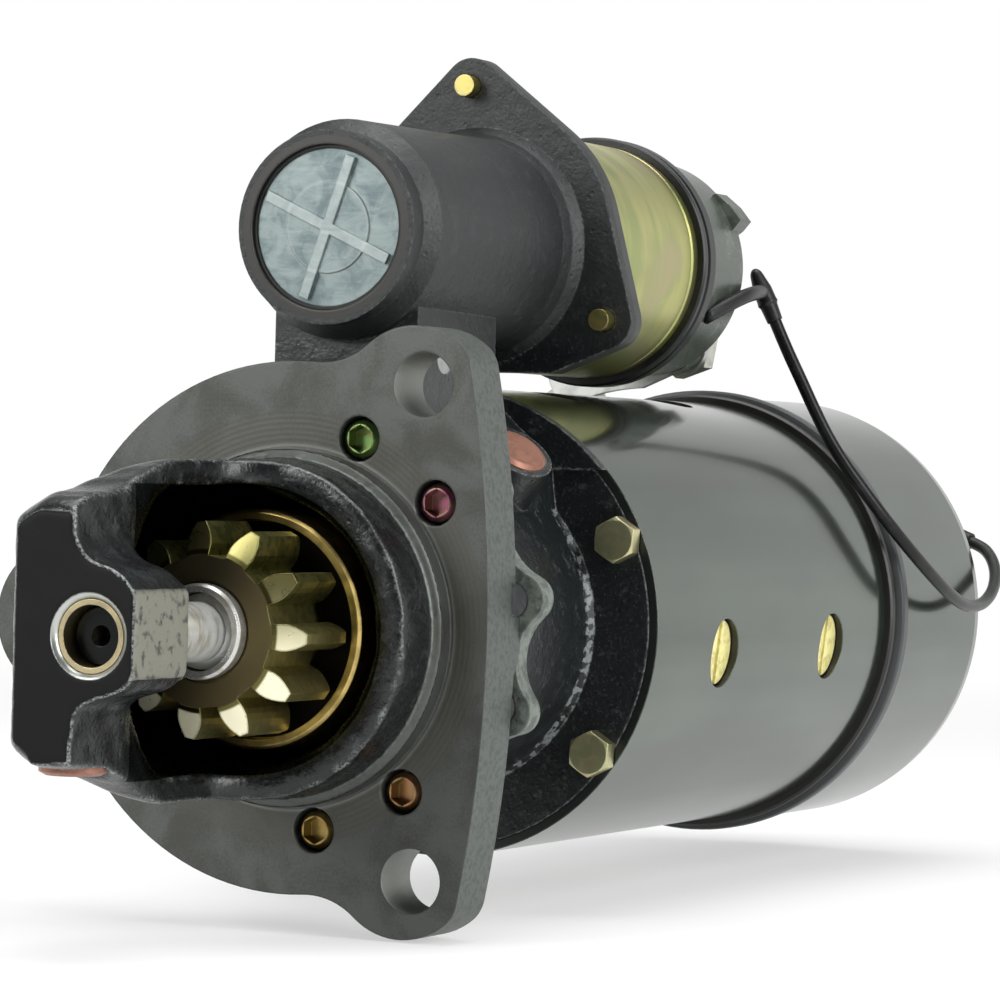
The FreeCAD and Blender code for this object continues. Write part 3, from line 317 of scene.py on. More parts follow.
def nosePaint(look):
    # satin machined flange, rough glossy black casting, flat black end, one rubbed grey pad, the hollow
    # inside painted black as painted shade
    paint, color, gloss, height = castPaint("nose_paint", look["paint"], look["paintPale"], look["grain"])[:4]
    r = paint.radius()
    fine = paint.noise(0.7, 3.0, 0.6)
    lumps = paint.noise(3.2, 3.0, 0.6)
    blotch = paint.noise(17.0, 4.0, 0.55, warp=0.6)
    crest = paint.node("ShaderNodeNewGeometry", out="Pointiness") + lumps * 0.05 - 0.025
    worn = paint.fade(crest, 0.512, 0.545) * paint.fade(fine, 0.40, 0.60)
    flange = paint.fade(paint.y, *look["flangeY"])
    facing = paint.fade(-paint.ny, 0.86, 0.95)
    pilot = (r > look["pilotR"][0]) * (r < look["pilotR"][1])
    machined = (facing * paint.fade(r, *look["faceR"]) + pilot).math("MINIMUM", 1.0)
    ring = paint.fade(r, *look["ringInR"]) * (1 - paint.fade(r, *look["ringOutR"]))
    step = paint.fade(r, *look["stepInR"]) * (1 - paint.fade(r, *look["stepOutR"]))
    plain = paint.mix(look["face"], look["stain"], paint.fade(blotch * 0.75 + fine * 0.3, 0.44, 0.66))
    plain = paint.mix(plain, look["rings"], ring * 0.6)
    plain = paint.mix(plain, look["wall"], step * 0.6)
    rough = paint.mix(look["edge"], look["edgeDark"], paint.fade(paint.noise(1.6, 3.0, 0.6), 0.46, 0.62))
    metal = paint.mix(rough, plain, machined)
    off = (paint.x - look["earHoleX"]) ** 2.0 + (abs(paint.z) - look["earHoleZ"]) ** 2.0
    metal = paint.mix(metal, look["wall"], (off < look["earHoleR"] ** 2) * (1 - facing))
    color = paint.mix(color, look["worn"], worn * 0.75)
    color = paint.mix(color, metal, flange)
    gloss = (gloss - 0.07) * (1 - flange) + (0.40 + fine * 0.18) * flange
    turned = (r * 4.4 + blotch * 0.8).math("SINE") * machined * flange * ring
    height = height * (1 - flange * 0.6) * (1 - machined * flange) + turned * 0.02 + fine * 0.07 * flange
    end = paint.fade(-paint.ny, 0.90, 0.98) * (paint.y < look["endY"])
    color = paint.mix(color, look["end"], end)
    gloss = gloss * (1 - end) + (0.5 + fine * 0.06) * end
    height = height * (1 - end * 0.96)
    padFace = paint.fade(paint.nx, 0.75, 0.95) * (paint.x > look["padX"])
    pad = padFace * (paint.y < look["padY"]) * (abs(paint.z - look["padZ"]) < look["padHalf"])
    rubbed = paint.mix(look["padDark"], look["pad"], paint.fade(lumps + blotch * 0.25, 0.44, 0.62))
    color = paint.mix(color, rubbed, pad)
    gloss = gloss * (1 - pad) + (0.42 + lumps * 0.16) * pad
    height = height * (1 - pad * 0.7)
    # the hollow inside the nose is painted almost black and made metallic so that it reflects nothing:
    # painted shade
    hollow = (r < look["hollowR"]) * (paint.y > look["hollowY"][0]) * (paint.y < look["hollowY"][1])
    mouth = (r < look["mouthR"]) * (paint.y < look["mouthY"]) * (1 - end)
    color = paint.mix(color, look["hollow"], hollow)
    color = paint.mix(color, look["mouth"], mouth)
    gloss = gloss * (1 - mouth) + 0.3 * mouth
    bare = 0.78 * flange * (1 - hollow) + 0.4 * pad + 0.9 * mouth
    metallic = (bare + 0.95 * end + 0.95 * hollow * (1 - mouth)).math("MINIMUM", 1.0)
    return paint.finish(color, gloss, metallic, height * (1 - hollow * 0.5) * (1 - mouth), 0.36, 0.8)


leverLook = {
    "paint": (0.007, 0.009, 0.010), "paintPale": (0.034, 0.038, 0.037), "grain": 1.0,
    "tower": (0.014, 0.016, 0.016), "dust": (0.12, 0.13, 0.13), "chip": (0.30, 0.33, 0.32),
    "foot": (0.36, 0.40, 0.40), "lobe": (0.19, 0.215, 0.19), "lobeDark": (0.10, 0.112, 0.10),
    "lip": (0.020, 0.019, 0.017), "inside": (0.004, 0.005, 0.005),
    "towerZ": (74.0, 80.0), "dustY": 86.0, "footY": (87.2, 88.0), "footR": (46.2, 46.8), "drumTop": 40.0,
    "lobeR": 45.3, "lobeY": 29.6, "lobeTop": 68.0, "lipR": 24.0, "lipY": 14.6,
    "drumHollowR": 42.0, "towerBoreR": 22.6, "towerBoreY": 15.0}


def leverPaint(look):
    # black grain on drum and tower, a chipped line at the drum's foot, the scalloped ring grey casting, the
    # drum's hollow and the tower's bore painted near black as painted shade
    cast = castPaint("lever_paint", look["paint"], look["paintPale"], look["grain"])
    paint, color, gloss, height, chips = cast
    r = paint.radius()
    tower = paint.radius(solenoidZ)
    onTower = paint.fade(paint.z, *look["towerZ"])
    dust = paint.fade(paint.noise(0.55, 2.0, 0.5), 0.62, 0.74) * (paint.y > look["dustY"]) * (1 - onTower)
    color = paint.mix(color, look["tower"], onTower * 0.5)
    color = paint.mix(color, look["dust"], dust * 0.4)
    color = paint.mix(color, look["chip"], chips * (0.6 - onTower * 0.3))
    foot = paint.fade(paint.y, *look["footY"]) * (1 - paint.fade(r, *look["footR"]))
    flaked = paint.fade(paint.noise(2.2, 2.0, 0.5), 0.50, 0.58) * 0.45
    color = paint.mix(color, look["foot"], foot * (paint.z < look["drumTop"]) * flaked)
    lobes = (r > look["lobeR"]) * (paint.y < look["lobeY"]) * (paint.z < look["lobeTop"])
    grey = paint.mix(look["lobe"], look["lobeDark"], paint.fade(paint.noise(3.0, 3.0, 0.6), 0.4, 0.62))
    color = paint.mix(color, grey, lobes)
    gloss = gloss + onTower * 0.14 + lobes * 0.14
    lip = (tower < look["lipR"]) * (paint.y < look["lipY"])
    color = paint.mix(color, look["lip"], lip)
    gloss = gloss * (1 - lip) + 0.30 * lip
    # the drum's hollow and the tower's bore are painted near black: painted shade
    bore = (tower < look["towerBoreR"]) * (paint.y > look["towerBoreY"])
    inside = ((r < look["drumHollowR"]) * (paint.z < look["drumTop"]) + bore).math("MINIMUM", 1.0)
    color = paint.mix(color, look["inside"], inside)
    return paint.finish(color, gloss, 0.5 * lobes, height * (1 - lip), 0.32, 0.8)


enamelLook = {"pale": (0.098, 0.121, 0.098), "deep": (0.076, 0.092, 0.078), "speck": (0.05, 0.06, 0.05),
              "sunk": (0.008, 0.009, 0.009), "coat": 0.18, "frameRecessR": 64.8}


def enamel(name, look, extraRough=0.0, recessR=0.0):
    # glossy dark grey-green over turned steel, with very faint lengthwise bands, black below recessR
    paint = Paint(name)
    bands = paint.noise(0.5, 2.0, 0.5, paint.join(paint.angle() * 2.2, 0.0, 0.0))
    mist = paint.noise(26.0, 3.0, 0.5, paint.join(paint.x, paint.y * 0.4, paint.z))
    peel = paint.noise(2.4, 2.0, 0.4)
    color = paint.mix(look["pale"], look["deep"], paint.fade(bands * 0.5 + mist * 0.5, 0.36, 0.62))
    color = paint.mix(look["speck"], color, paint.fade(paint.cells(5.5), 0.0, 0.05))
    sunk = 1 - paint.fade(paint.radius(), recessR - 0.5, recessR - 0.2)
    color = paint.mix(color, look["sunk"], sunk)
    gloss = 0.13 + mist * 0.05 + extraRough + sunk * 0.15
    return paint.finish(color, gloss, 0.86 * (1 - sunk), peel * 0.5 + bands * 0.2, 0.012, 0.5,
                        coat=(1 - sunk) * look["coat"], coatRoughness=0.05)


def chromate(name, gold, green, pink, size, rough=0.3):
    # zinc with a yellow chromate: gold that drifts to green and pink, with fine streaks along X and Z
    paint = Paint(name)
    streak, bright = 6.0, (0.62, 0.60, 0.36)
    drift = paint.noise(size, 3.0, 0.55, warp=0.8)
    other = paint.noise(size * 0.7, 2.0, 0.5, paint.join(paint.y, paint.z, paint.x), warp=0.5)
    lines = paint.noise(1.0, 2.0, 0.6, paint.join(paint.x / streak, paint.y, paint.z / streak))
    color = paint.mix(gold, green, paint.fade(drift, 0.44, 0.62))
    color = paint.mix(color, pink, paint.fade(other, 0.56, 0.72) * 0.75)
    color = paint.mix(color, bright, paint.fade(lines, 0.55, 0.8) * 0.25)
    gloss = rough + lines * 0.1 + drift * 0.05
    return paint.finish(color, gloss, 1.0, lines * 0.6 + paint.noise(0.8) * 0.3, 0.03, 0.35)


caseLook = {"gold": (0.50, 0.49, 0.19), "green": (0.34, 0.38, 0.14), "pink": (0.50, 0.40, 0.25),
            "pinkY": (135.0, 175.0)}


def caseChromate(look):
    # the solenoid's can: olive-yellow chromate in soft bands round it, a little pink towards the cap
    paint = Paint("case_chromate")
    bands = paint.noise(9.0, 3.0, 0.5, paint.join(0.0, paint.y, paint.angle(solenoidZ) * 1.5))
    drift = paint.noise(30.0, 3.0, 0.5, warp=0.6)
    fine = paint.noise(1.0, 2.0, 0.6, paint.join(paint.x * 0.08, paint.y, paint.z * 0.08))
    color = paint.mix(look["gold"], look["green"], paint.fade(bands * 0.4 + drift * 0.6, 0.42, 0.58))
    blush = paint.fade(drift, 0.46, 0.62) * paint.fade(paint.y, *look["pinkY"]) * 0.7
    color = paint.mix(color, look["pink"], blush)
    return paint.finish(color, 0.30 + fine * 0.1, 0.95, fine, 0.02, 0.35)


def metal(name, base, dark, rough=0.3, size=6.0, lines=0.0, bump=0.03, metallic=1.0):
    # bare or plated metal, its tone clouded, with turning marks along Y and R where lines is above 0
    paint = Paint(name)
    turning = 9.0  # radians for each millimetre
    cloud = paint.noise(size, 4.0, 0.55, warp=0.4)
    fine = paint.noise(0.5, 2.0, 0.6)
    marks = (paint.y * turning).math("SINE") * lines + (paint.radius() * turning).math("SINE") * lines
    color = paint.mix(base, dark, paint.fade(cloud, 0.42, 0.68))
    gloss = rough + cloud * 0.14 - 0.06 + fine * 0.05
    return paint.finish(color, gloss, metallic, fine * 0.5 + cloud * 0.3 + marks, bump, 0.35)


def rubber(name, base=(0.007, 0.007, 0.008), rough=0.36):
    # moulded rubber or soft plastic: near black, dusty, with a fine skin
    paint = Paint(name)
    dust = paint.noise(9.0, 4.0, 0.6)
    skin = paint.noise(0.45, 2.0, 0.5)
    dusty = tuple(value * 2.0 + 0.002 for value in base)
    color = paint.mix(base, dusty, paint.fade(dust, 0.5, 0.75))
    return paint.finish(color, rough + dust * 0.12, 0.0, skin * 0.5 + dust * 0.3, 0.04, 0.4, specular=0.35)


bandLook = {"front": (0.013, 0.012, 0.011), "rear": (0.050, 0.056, 0.058), "rearY": (274.8, 276.0)}


def bandRubber(look):
    # the seal band: brown black in front, its rear ridge painted lighter grey, patchy with dust: a painted
    # sheen
    paint = Paint("band_rubber")
    dust = paint.noise(7.0, 4.0, 0.6)
    rear = paint.fade(paint.y, *look["rearY"])
    # the rear ridge's lighter grey is a painted sheen, made patchy by the dust noise
    color = paint.mix(look["front"], look["rear"], rear * (0.5 + dust * 0.6))
    return paint.finish(color, 0.30 + dust * 0.14, 0.0, dust, 0.03, 0.4, specular=0.4)


pinionLook = {
    "gold": (0.30, 0.29, 0.10), "olive": (0.12, 0.125, 0.045), "lowReflectedGold": (0.62, 0.54, 0.24),
    "hubDark": (0.060, 0.050, 0.026), "hubLight": (0.16, 0.125, 0.055), "toothEdge": (0.13, 0.115, 0.04),
    "toothEnd": (0.50, 0.46, 0.18), "lowEndHighlight": (0.98, 0.94, 0.68),
    "lowZ": (-12.0, 16.0), "hubR": (18.9, 19.5), "endR": (20.2, 20.9)}


def pinionGold(look):
    # old gold clouded with olive and pale worn tooth ends; low down the gold is lighter and the tooth ends
    # near white as painted reflection of the floor; the brown hub face has painted shading from dark to light
    # across it
    paint = Paint("pinion_gold")
    r = paint.radius()
    cloud = paint.noise(3.2, 4.0, 0.6, warp=0.5)
    low = 1 - paint.fade(paint.z, *look["lowZ"])
    color = paint.mix(look["gold"], look["olive"], paint.fade(cloud, 0.40, 0.62))
    # lighter gold towards the bottom: painted reflection of the floor
    color = paint.mix(color, look["lowReflectedGold"], low * 0.45)
    front = paint.fade(-paint.ny, 0.5, 0.8)
    hub = (1 - paint.fade(r, *look["hubR"])) * front
    # the hub face goes from dark to light across it: painted shading
    across = paint.fade(paint.x * 0.8 - paint.z * 0.4, -4.0, 16.0)
    face = paint.mix(look["hubDark"], look["hubLight"], across)
    ends = front * (1 - hub)
    worn = ends * paint.fade(r, *look["endR"]) * (1 - paint.fade(paint.edges(0.9), 0.01, 0.05) * 0.8)
    color = paint.mix(color, look["toothEdge"], ends)
    color = paint.mix(color, look["toothEnd"], worn)
    # the worn ends of the lower teeth are painted near white: painted highlight
    color = paint.mix(color, look["lowEndHighlight"], worn * low)
    color = paint.mix(color, face, hub)
    gloss = 0.28 + cloud * 0.14 + hub * 0.10 - ends * 0.06
    metallic = 1.0 - hub * 0.3 - worn * low * 0.55
    return paint.finish(color, gloss, metallic, cloud * 0.6, 0.05, 0.35)


clutchLook = {"gold": (0.62, 0.46, 0.17), "dark": (0.40, 0.30, 0.10), "dimmed": (0.010, 0.009, 0.007),
              "ringR": (27.4, 27.9)}


def clutchGold(look):
    # the clutch: its outer ring bright old gold, all within that ring near black
    paint = Paint("clutch_gold")
    cloud = paint.noise(5.0, 3.0, 0.5)
    color = paint.mix(look["gold"], look["dark"], paint.fade(cloud, 0.40, 0.64))
    # within the outer ring the clutch is made near black
    inner = 1 - paint.fade(paint.radius(), *look["ringR"])
    color = paint.mix(color, look["dimmed"], inner)
    return paint.finish(color, 0.26 + cloud * 0.1 + inner * 0.2, 1.0, cloud, 0.03, 0.35)


shaftLook = {"steel": (0.52, 0.53, 0.51), "stain": (0.34, 0.32, 0.28), "end": (0.020, 0.021, 0.021),
             "endY": -96.3, "centreY": -86.0, "centreR": 3.6}


def shaftSteel(look):
    # ground bright steel; its end and centre hole, seen down the nose bore, are painted near black as painted
    # shade
    paint = Paint("shaft_steel")
    cloud = paint.noise(4.0, 3.0, 0.5)
    marks = (paint.y * 9.0).math("SINE") * 0.04
    stain = paint.noise(3.0, 3.0, 0.6, paint.join(paint.x * 0.3, paint.y, paint.z * 0.3))
    color = paint.mix(look["steel"], look["stain"], paint.fade(stain, 0.5, 0.68))
    # the shaft's end and its centre hole are painted near black: painted shade
    centre = (paint.y < look["centreY"]) * (paint.radius() < look["centreR"])
    end = ((paint.y < look["endY"]) + centre).math("MINIMUM", 1.0)
    color = paint.mix(color, look["end"], end)
    return paint.finish(color, 0.30 + cloud * 0.1 - end * 0.12, 0.55 + end * 0.4, marks + cloud, 0.02, 0.3)


plugLook = {"zinc": (0.215, 0.262, 0.256), "dark": (0.125, 0.162, 0.168), "smear": (0.27, 0.32, 0.31),
            "rib": (0.34, 0.38, 0.37), "fieldY": (15.1, 15.4), "rimInR": (11.2, 11.8),
            "rimOutR": (12.2, 12.8)}


def plugZinc(look):
    # the tower's plug: bluish bare zinc, dull in the field, rubbed brighter on the ribs
    paint = Paint("plug_zinc")
    r = paint.radius(solenoidZ)
    raised = 1 - paint.fade(paint.y, *look["fieldY"])
    cloud = paint.noise(7.0, 4.0, 0.6, warp=0.7)
    place = paint.join(paint.x * 0.35 + paint.z * 0.2, paint.y, paint.z * 1.3)
    smear = paint.noise(2.2, 4.0, 0.65, place)
    color = paint.mix(look["zinc"], look["dark"], paint.fade(cloud, 0.38, 0.66))
    color = paint.mix(color, look["smear"], paint.fade(smear, 0.48, 0.74) * 0.35)
    rim = paint.fade(r, *look["rimInR"]) * (1 - paint.fade(r, *look["rimOutR"]))
    color = paint.mix(color, look["rib"], (raised * 0.5 + rim * 0.3).math("MINIMUM", 1.0))
    gloss = 0.38 + cloud * 0.12 - raised * 0.04
    return paint.finish(color, gloss, 0.7, smear * 0.6 + cloud * 0.4, 0.12, 0.45)


socketLook = {
    "olive": (0.26, 0.23, 0.09), "dimmed": (0.10, 0.085, 0.03), "turns": (-1.9, 1.9),  # radians about the shaft
    "shades": [(0.0, (0.45, 0.33, 0.10)), (0.20, (0.42, 0.26, 0.09)), (0.33, (0.48, 0.19, 0.14)),
               (0.55, (0.48, 0.19, 0.17)), (0.68, (0.50, 0.12, 0.28)), (0.80, (0.20, 0.38, 0.13)),
               (1.0, (0.30, 0.38, 0.12))]}


def socketFinish(look):
    # each socket screw has its own shade of chromate: green above, then magenta, copper and gold below
    paint = Paint("socket_finish")
    low, high = look["turns"]
    cloud = paint.noise(2.2, 3.0, 0.6)
    place = paint.node("ShaderNodeMapRange", None, {0: paint.angle(), 1: low, 2: high, 3: 0.0, 4: 1.0})
    tint = paint.ramp(place, look["shades"])
    color = paint.mix(look["olive"], tint, 0.4 + paint.fade(cloud, 0.42, 0.58) * 0.55)
    # faces that don't face the front, the head's sides and the hex socket, are darkened: painted shade
    color = paint.mix(color, look["dimmed"], (1 - paint.fade(-paint.ny, 0.4, 0.8)) * 0.6)
    return paint.finish(color, 0.26 + cloud * 0.14, 1.0, cloud, 0.05, 0.4)


print("making the finishes")
finishes = {
    "nose_housing": nosePaint(noseLook),
    "lever_housing": leverPaint(leverLook),
    "field_frame": enamel("body_enamel", enamelLook, recessR=enamelLook["frameRecessR"]),
    "end_cap": enamel("cap_enamel", enamelLook, 0.03),
    "pinion": pinionGold(pinionLook),
    "tower_plug": plugZinc(plugLook),
    "nose_screws": socketFinish(socketLook),
    "solenoid_case": caseChromate(caseLook),
    "solenoid_flange": metal("flange_paint", (0.016, 0.018, 0.018), (0.010, 0.011, 0.011), 0.36,
                             metallic=0.0),
    "solenoid_bolts": chromate("bolt_chromate", (0.46, 0.38, 0.13), (0.34, 0.33, 0.12),
                               (0.46, 0.32, 0.18), 5.0),
    "frame_bolts": chromate("hex_chromate", (0.62, 0.58, 0.33), (0.50, 0.50, 0.29),
                            (0.58, 0.48, 0.32), 7.0, 0.32),
    "pole_screws": metal("screw_gold", (0.86, 0.80, 0.34), (0.62, 0.54, 0.20), 0.36, 3.0, metallic=0.35),
    "clutch_shell": clutchGold(clutchLook),
    "oil_plugs": metal("plug_copper", (0.29, 0.135, 0.092), (0.21, 0.095, 0.066), 0.36, 4.0, metallic=0.5),
    "rear_oil_plug": metal("rear_plug", (0.42, 0.42, 0.38), (0.25, 0.26, 0.24), 0.36),
    "nose_bushing": metal("bush_bronze", (0.52, 0.44, 0.26), (0.34, 0.29, 0.18), 0.3),
    "inner_bushings": metal("inner_bronze", (0.42, 0.30, 0.14), (0.26, 0.19, 0.09), 0.32),
    "armature_shaft": shaftSteel(shaftLook),
    "pinion_stop_ring": metal("stop_steel", (0.60, 0.60, 0.57), (0.44, 0.42, 0.36), 0.26, 4.0, 0.1,
                              metallic=0.85),
    "drive_sleeve": metal("sleeve_steel", (0.36, 0.36, 0.34), (0.24, 0.24, 0.23), 0.3),
    "clutch_rollers": metal("roller_steel", (0.60, 0.60, 0.58), (0.48, 0.48, 0.46), 0.15),
    "shift_collar": metal("collar_steel", (0.30, 0.30, 0.28), (0.18, 0.18, 0.17), 0.38),
    "drive_spring": metal("spring_steel", (0.26, 0.26, 0.27), (0.16, 0.16, 0.17), 0.32),
    "return_spring": metal("spring_bright", (0.42, 0.42, 0.42), (0.30, 0.30, 0.31), 0.28),
    "brush_springs": metal("spring_small", (0.38, 0.38, 0.38), (0.28, 0.28, 0.29), 0.3),
    "shift_lever": metal("lever_iron", (0.14, 0.14, 0.135), (0.08, 0.08, 0.078), 0.5, bump=0.12),
    "lever_pin": metal("pin_steel", (0.42, 0.42, 0.41), (0.30, 0.30, 0.29), 0.28),
    "center_bearing_plate": metal("bearing_iron", (0.15, 0.15, 0.145), (0.09, 0.09, 0.088), 0.48, bump=0.1),
    "pole_shoes": metal("pole_iron", (0.20, 0.20, 0.195), (0.12, 0.12, 0.118), 0.42),
    "field_coils": metal("coil_tape", (0.42, 0.34, 0.20), (0.30, 0.24, 0.14), 0.65, 3.0, 0.0, 0.15, 0.0),
    "armature_core": metal("core_iron", (0.18, 0.18, 0.18), (0.11, 0.11, 0.112), 0.4, 5.0, 0.6, 0.08),
    "armature_winding": metal("winding_copper", (0.50, 0.22, 0.11), (0.34, 0.14, 0.07), 0.36, 3.0, 0.3),
    "commutator": metal("commutator_copper", (0.62, 0.32, 0.20), (0.48, 0.22, 0.13), 0.22, 5.0, 0.3),
    "brushes": metal("brush_carbon", (0.05, 0.05, 0.05), (0.03, 0.028, 0.026), 0.5, 1.5, 0.0, 0.08, 0.3),
    "brush_holders": metal("holder_brass", (0.48, 0.40, 0.20), (0.34, 0.28, 0.14), 0.34),
    "brush_plate": metal("brush_plate_steel", (0.34, 0.34, 0.33), (0.24, 0.24, 0.235), 0.4),
    "rear_clamp_ring": metal("ring_steel", (0.26, 0.26, 0.25), (0.17, 0.17, 0.168), 0.42),
    "plunger": metal("plunger_steel", (0.52, 0.52, 0.50), (0.36, 0.36, 0.35), 0.26, 5.0, 0.3),
    "solenoid_core": metal("core_steel", (0.32, 0.32, 0.31), (0.22, 0.22, 0.215), 0.36),
    "solenoid_coil": metal("coil_enamel", (0.40, 0.14, 0.06), (0.27, 0.09, 0.04), 0.4, 3.0, 1.0, 0.25, 0.5),
    "contact_disc": metal("disc_copper", (0.64, 0.34, 0.22), (0.50, 0.25, 0.15), 0.26),
    "terminal_studs": metal("stud_copper", (0.60, 0.36, 0.22), (0.44, 0.25, 0.15), 0.32, 3.0, 1.4, 0.25),
    "terminal_nuts": metal("nut_zinc", (0.56, 0.56, 0.50), (0.40, 0.41, 0.35), 0.3, 4.0),
    "link_strap": metal("strap_tin", (0.50, 0.51, 0.48), (0.36, 0.37, 0.35), 0.32, 6.0),
    "field_stud": metal("field_stud_zinc", (0.50, 0.50, 0.44), (0.36, 0.36, 0.31), 0.32),
    "ground_stud": metal("ground_stud_zinc", (0.52, 0.52, 0.46), (0.38, 0.38, 0.33), 0.3, 3.0, 1.2, 0.2),
    "ground_terminal": metal("terminal_tin", (0.60, 0.60, 0.58), (0.44, 0.44, 0.42), 0.28),
    "end_cap_bolts": chromate("end_bolt_zinc", (0.44, 0.44, 0.34), (0.38, 0.40, 0.30),
                              (0.44, 0.38, 0.30), 5.0),
    "frame_seal": bandRubber(bandLook),
    "solenoid_ring": rubber("ring_rubber", (0.007, 0.008, 0.008), 0.26),
    "tower_seal": rubber("tower_rubber", (0.009, 0.009, 0.008), 0.4),
    "field_stud_insulator": rubber("insulator_plastic", (0.020, 0.020, 0.020), 0.4),
    "lead_boot": rubber("boot_rubber"),
    "terminal_boot": rubber("sleeve_rubber"),
    "ground_lead": rubber("lead_hidden"),
    "solenoid_cap": rubber("cap_plastic", (0.052, 0.062, 0.050), 0.2),
}
for nodeName, node in nodes.items():
    dress(node, finishes[nodeName])


jacketLook = {"black": (0.005, 0.005, 0.005), "grey": (0.040, 0.045, 0.040), "greyY": (262.0, 300.0)}


def leadJacket(look):
    # black vinyl, greyed in spots and on its way to the rear
    paint = Paint("lead_jacket")
    dust = paint.noise(6.0, 3.0, 0.6)
    grey = paint.fade(dust, 0.48, 0.74) * 0.3 + paint.fade(paint.y, *look["greyY"]) * 0.6
    color = paint.mix(look["black"], look["grey"], grey)
    skin = paint.noise(0.6) * 0.6 + dust * 0.4
    return paint.finish(color, 0.26 + dust * 0.14, 0.0, skin, 0.04, 0.0, specular=0.25)


def bootPieces(lead):
    # the boot's arm follows a smooth line, and its sleeve is turned about the lead's first stretch
    route = makeTube("lead_boot_line", lead["arm"], lead["armRadius"])
    line = splinePoints(route)
    bpy.data.objects.remove(route)
    rings = sweep(line, np.full(len(line), lead["armRadius"]), lead["armSides"])
    arm = gridMesh("lead_boot_arm", rings, caps=True)
    start, after = (np.array(place) for place in lead["route"][:2])
    heading = (after - start) / np.linalg.norm(after - start)
    back, radii = np.array(lead["sleeve"]).T
    s = np.linspace(0.0, back[-1], lead["sleeveRings"])
    width = np.interp(s, back, radii)
    width[-len(lead["tipRounding"]):] *= np.array(lead["tipRounding"])
    rings = sweep(start - heading * s[:, None], width, lead["sleeveSides"])
    sleeve = gridMesh("lead_boot_sleeve", rings, caps=True)
    return arm, sleeve


carry(leadCord, "housing", leadJacket(jacketLook), "rubber", "ground_lead")
boots = [carry(piece, "housing", finishes["lead_boot"], "rubber", "lead_boot")
         for piece in bootPieces(groundLead)]
boots + ["terminal_boot", "ground_terminal"]
print("lead and boots in place")


# The nose as a rough casting: metres, but the fades of its weight are millimetres.
casting = {
    "node": "nose_housing", "voxel": 0.0008, "cut": -0.0050, "passes": 16, "pull": 0.6, "lump": 0.00022,
    "flangeY": (-11.0, -8.5), "boreR": (11.0, 13.0), "bossBackY": (-73.0, -71.0),
    "endY": (-103.0, -100.5), "endShare": 0.25, "padX": (10.0, 11.5), "padBackY": -73.0, "padLess": 0.6,
    "sharpAngle": 28.0,
    "waves": (((0.52, 0.31, 0.22), 0.0), ((-0.24, 0.60, 0.41), 1.7), ((0.38, -0.29, 0.66), 0.6))}


def merged(source):
    # a copy of a mesh with its doubled points joined, so that it is one closed skin
    mesh = source.copy()
    work = bmesh.new()
    work.from_mesh(mesh)
    bmesh.ops.remove_doubles(work, verts=work.verts, dist=1e-6)
    work.to_mesh(mesh)
    work.free()
    for stale in [field for field in mesh.attributes if field.name == "custom_normal"]:
        mesh.attributes.remove(stale)
    return mesh


def bisected(mesh, y, keepFront):
    # the part of a mesh ahead of the plane at y, or behind it
    work = bmesh.new()
    work.from_mesh(mesh)
    everything = work.verts[:] + work.edges[:] + work.faces[:]
    bmesh.ops.bisect_plane(work, geom=everything, plane_co=(0, y, 0), plane_no=(0, 1, 0),
                           clear_outer=keepFront, clear_inner=not keepFront)
    work.to_mesh(mesh)
    work.free()
    return mesh


def remade(mesh, voxel):
    # the same solid as an even skin of small quads
    holder = bpy.data.objects.new("remakeHolder", mesh)
    bpy.context.scene.collection.objects.link(holder)
    change = holder.modifiers.new("even", "REMESH")
    change.mode, change.voxel_size = "VOXEL", voxel
    bpy.context.view_layer.update()
    even = bpy.data.meshes.new_from_object(holder.evaluated_get(bpy.context.evaluated_depsgraph_get()))
    bpy.data.objects.remove(holder)
    return even


def smoothstep(value, low, high):
    t = np.clip((value - low) / (high - low), 0.0, 1.0)
    return t * t * (3.0 - 2.0 * t)


def castWeight(mm, look):
    # how far the casting is rounded: all over the nose, less at its end face and pad, not in the bore
    x, y, z = mm.T
    ahead = 1.0 - smoothstep(y, *look["flangeY"])
    bore = smoothstep(np.hypot(x, z), *look["boreR"]) + smoothstep(y, *look["bossBackY"])
    end = look["endShare"] + (1.0 - look["endShare"]) * smoothstep(y, *look["endY"])
    pad = 1.0 - look["padLess"] * smoothstep(x, *look["padX"]) * (y < look["padBackY"])
    return ahead * np.clip(bore, 0.0, 1.0) * end * pad


def neighbourSum(points, a, b):
    # for each point, the sum of the points that share an edge with it, an edge joining a to b
    size = len(points)
    return np.stack([np.bincount(a, points[b, axis], size) + np.bincount(b, points[a, axis], size)
                     for axis in range(3)], axis=1)


def roundedCasting(mesh, look):
    # each pass moves a point towards the mean of its neighbours; then waves of sin sink low hollows
    flat = np.zeros(len(mesh.vertices) * 3)
    mesh.vertices.foreach_get("co", flat)
    points = flat.reshape(-1, 3)
    pairs = np.zeros(len(mesh.edges) * 2, dtype=np.int32)
    mesh.edges.foreach_get("vertices", pairs)
    a, b = pairs.reshape(-1, 2).T
    count = np.bincount(pairs, minlength=len(points))[:, None]
    weight = castWeight(points * 1000.0, look)[:, None]
    for _ in range(look["passes"]):
        points = points + weight * look["pull"] * (neighbourSum(points, a, b) / count - points)
    mm = points * 1000.0
    wave = sum(np.sin(mm @ direction + phase) for direction, phase in look["waves"])
    most = len(look["waves"])
    normals = np.zeros(len(points) * 3)
    mesh.vertices.foreach_set("co", points.ravel())
    mesh.update()
    mesh.vertex_normals.foreach_get("vector", normals)
    points = points + weight * (wave[:, None] - most) / most * look["lump"] * normals.reshape(-1, 3)
    mesh.vertices.foreach_set("co", points.ravel())
    mesh.update()
    return mesh


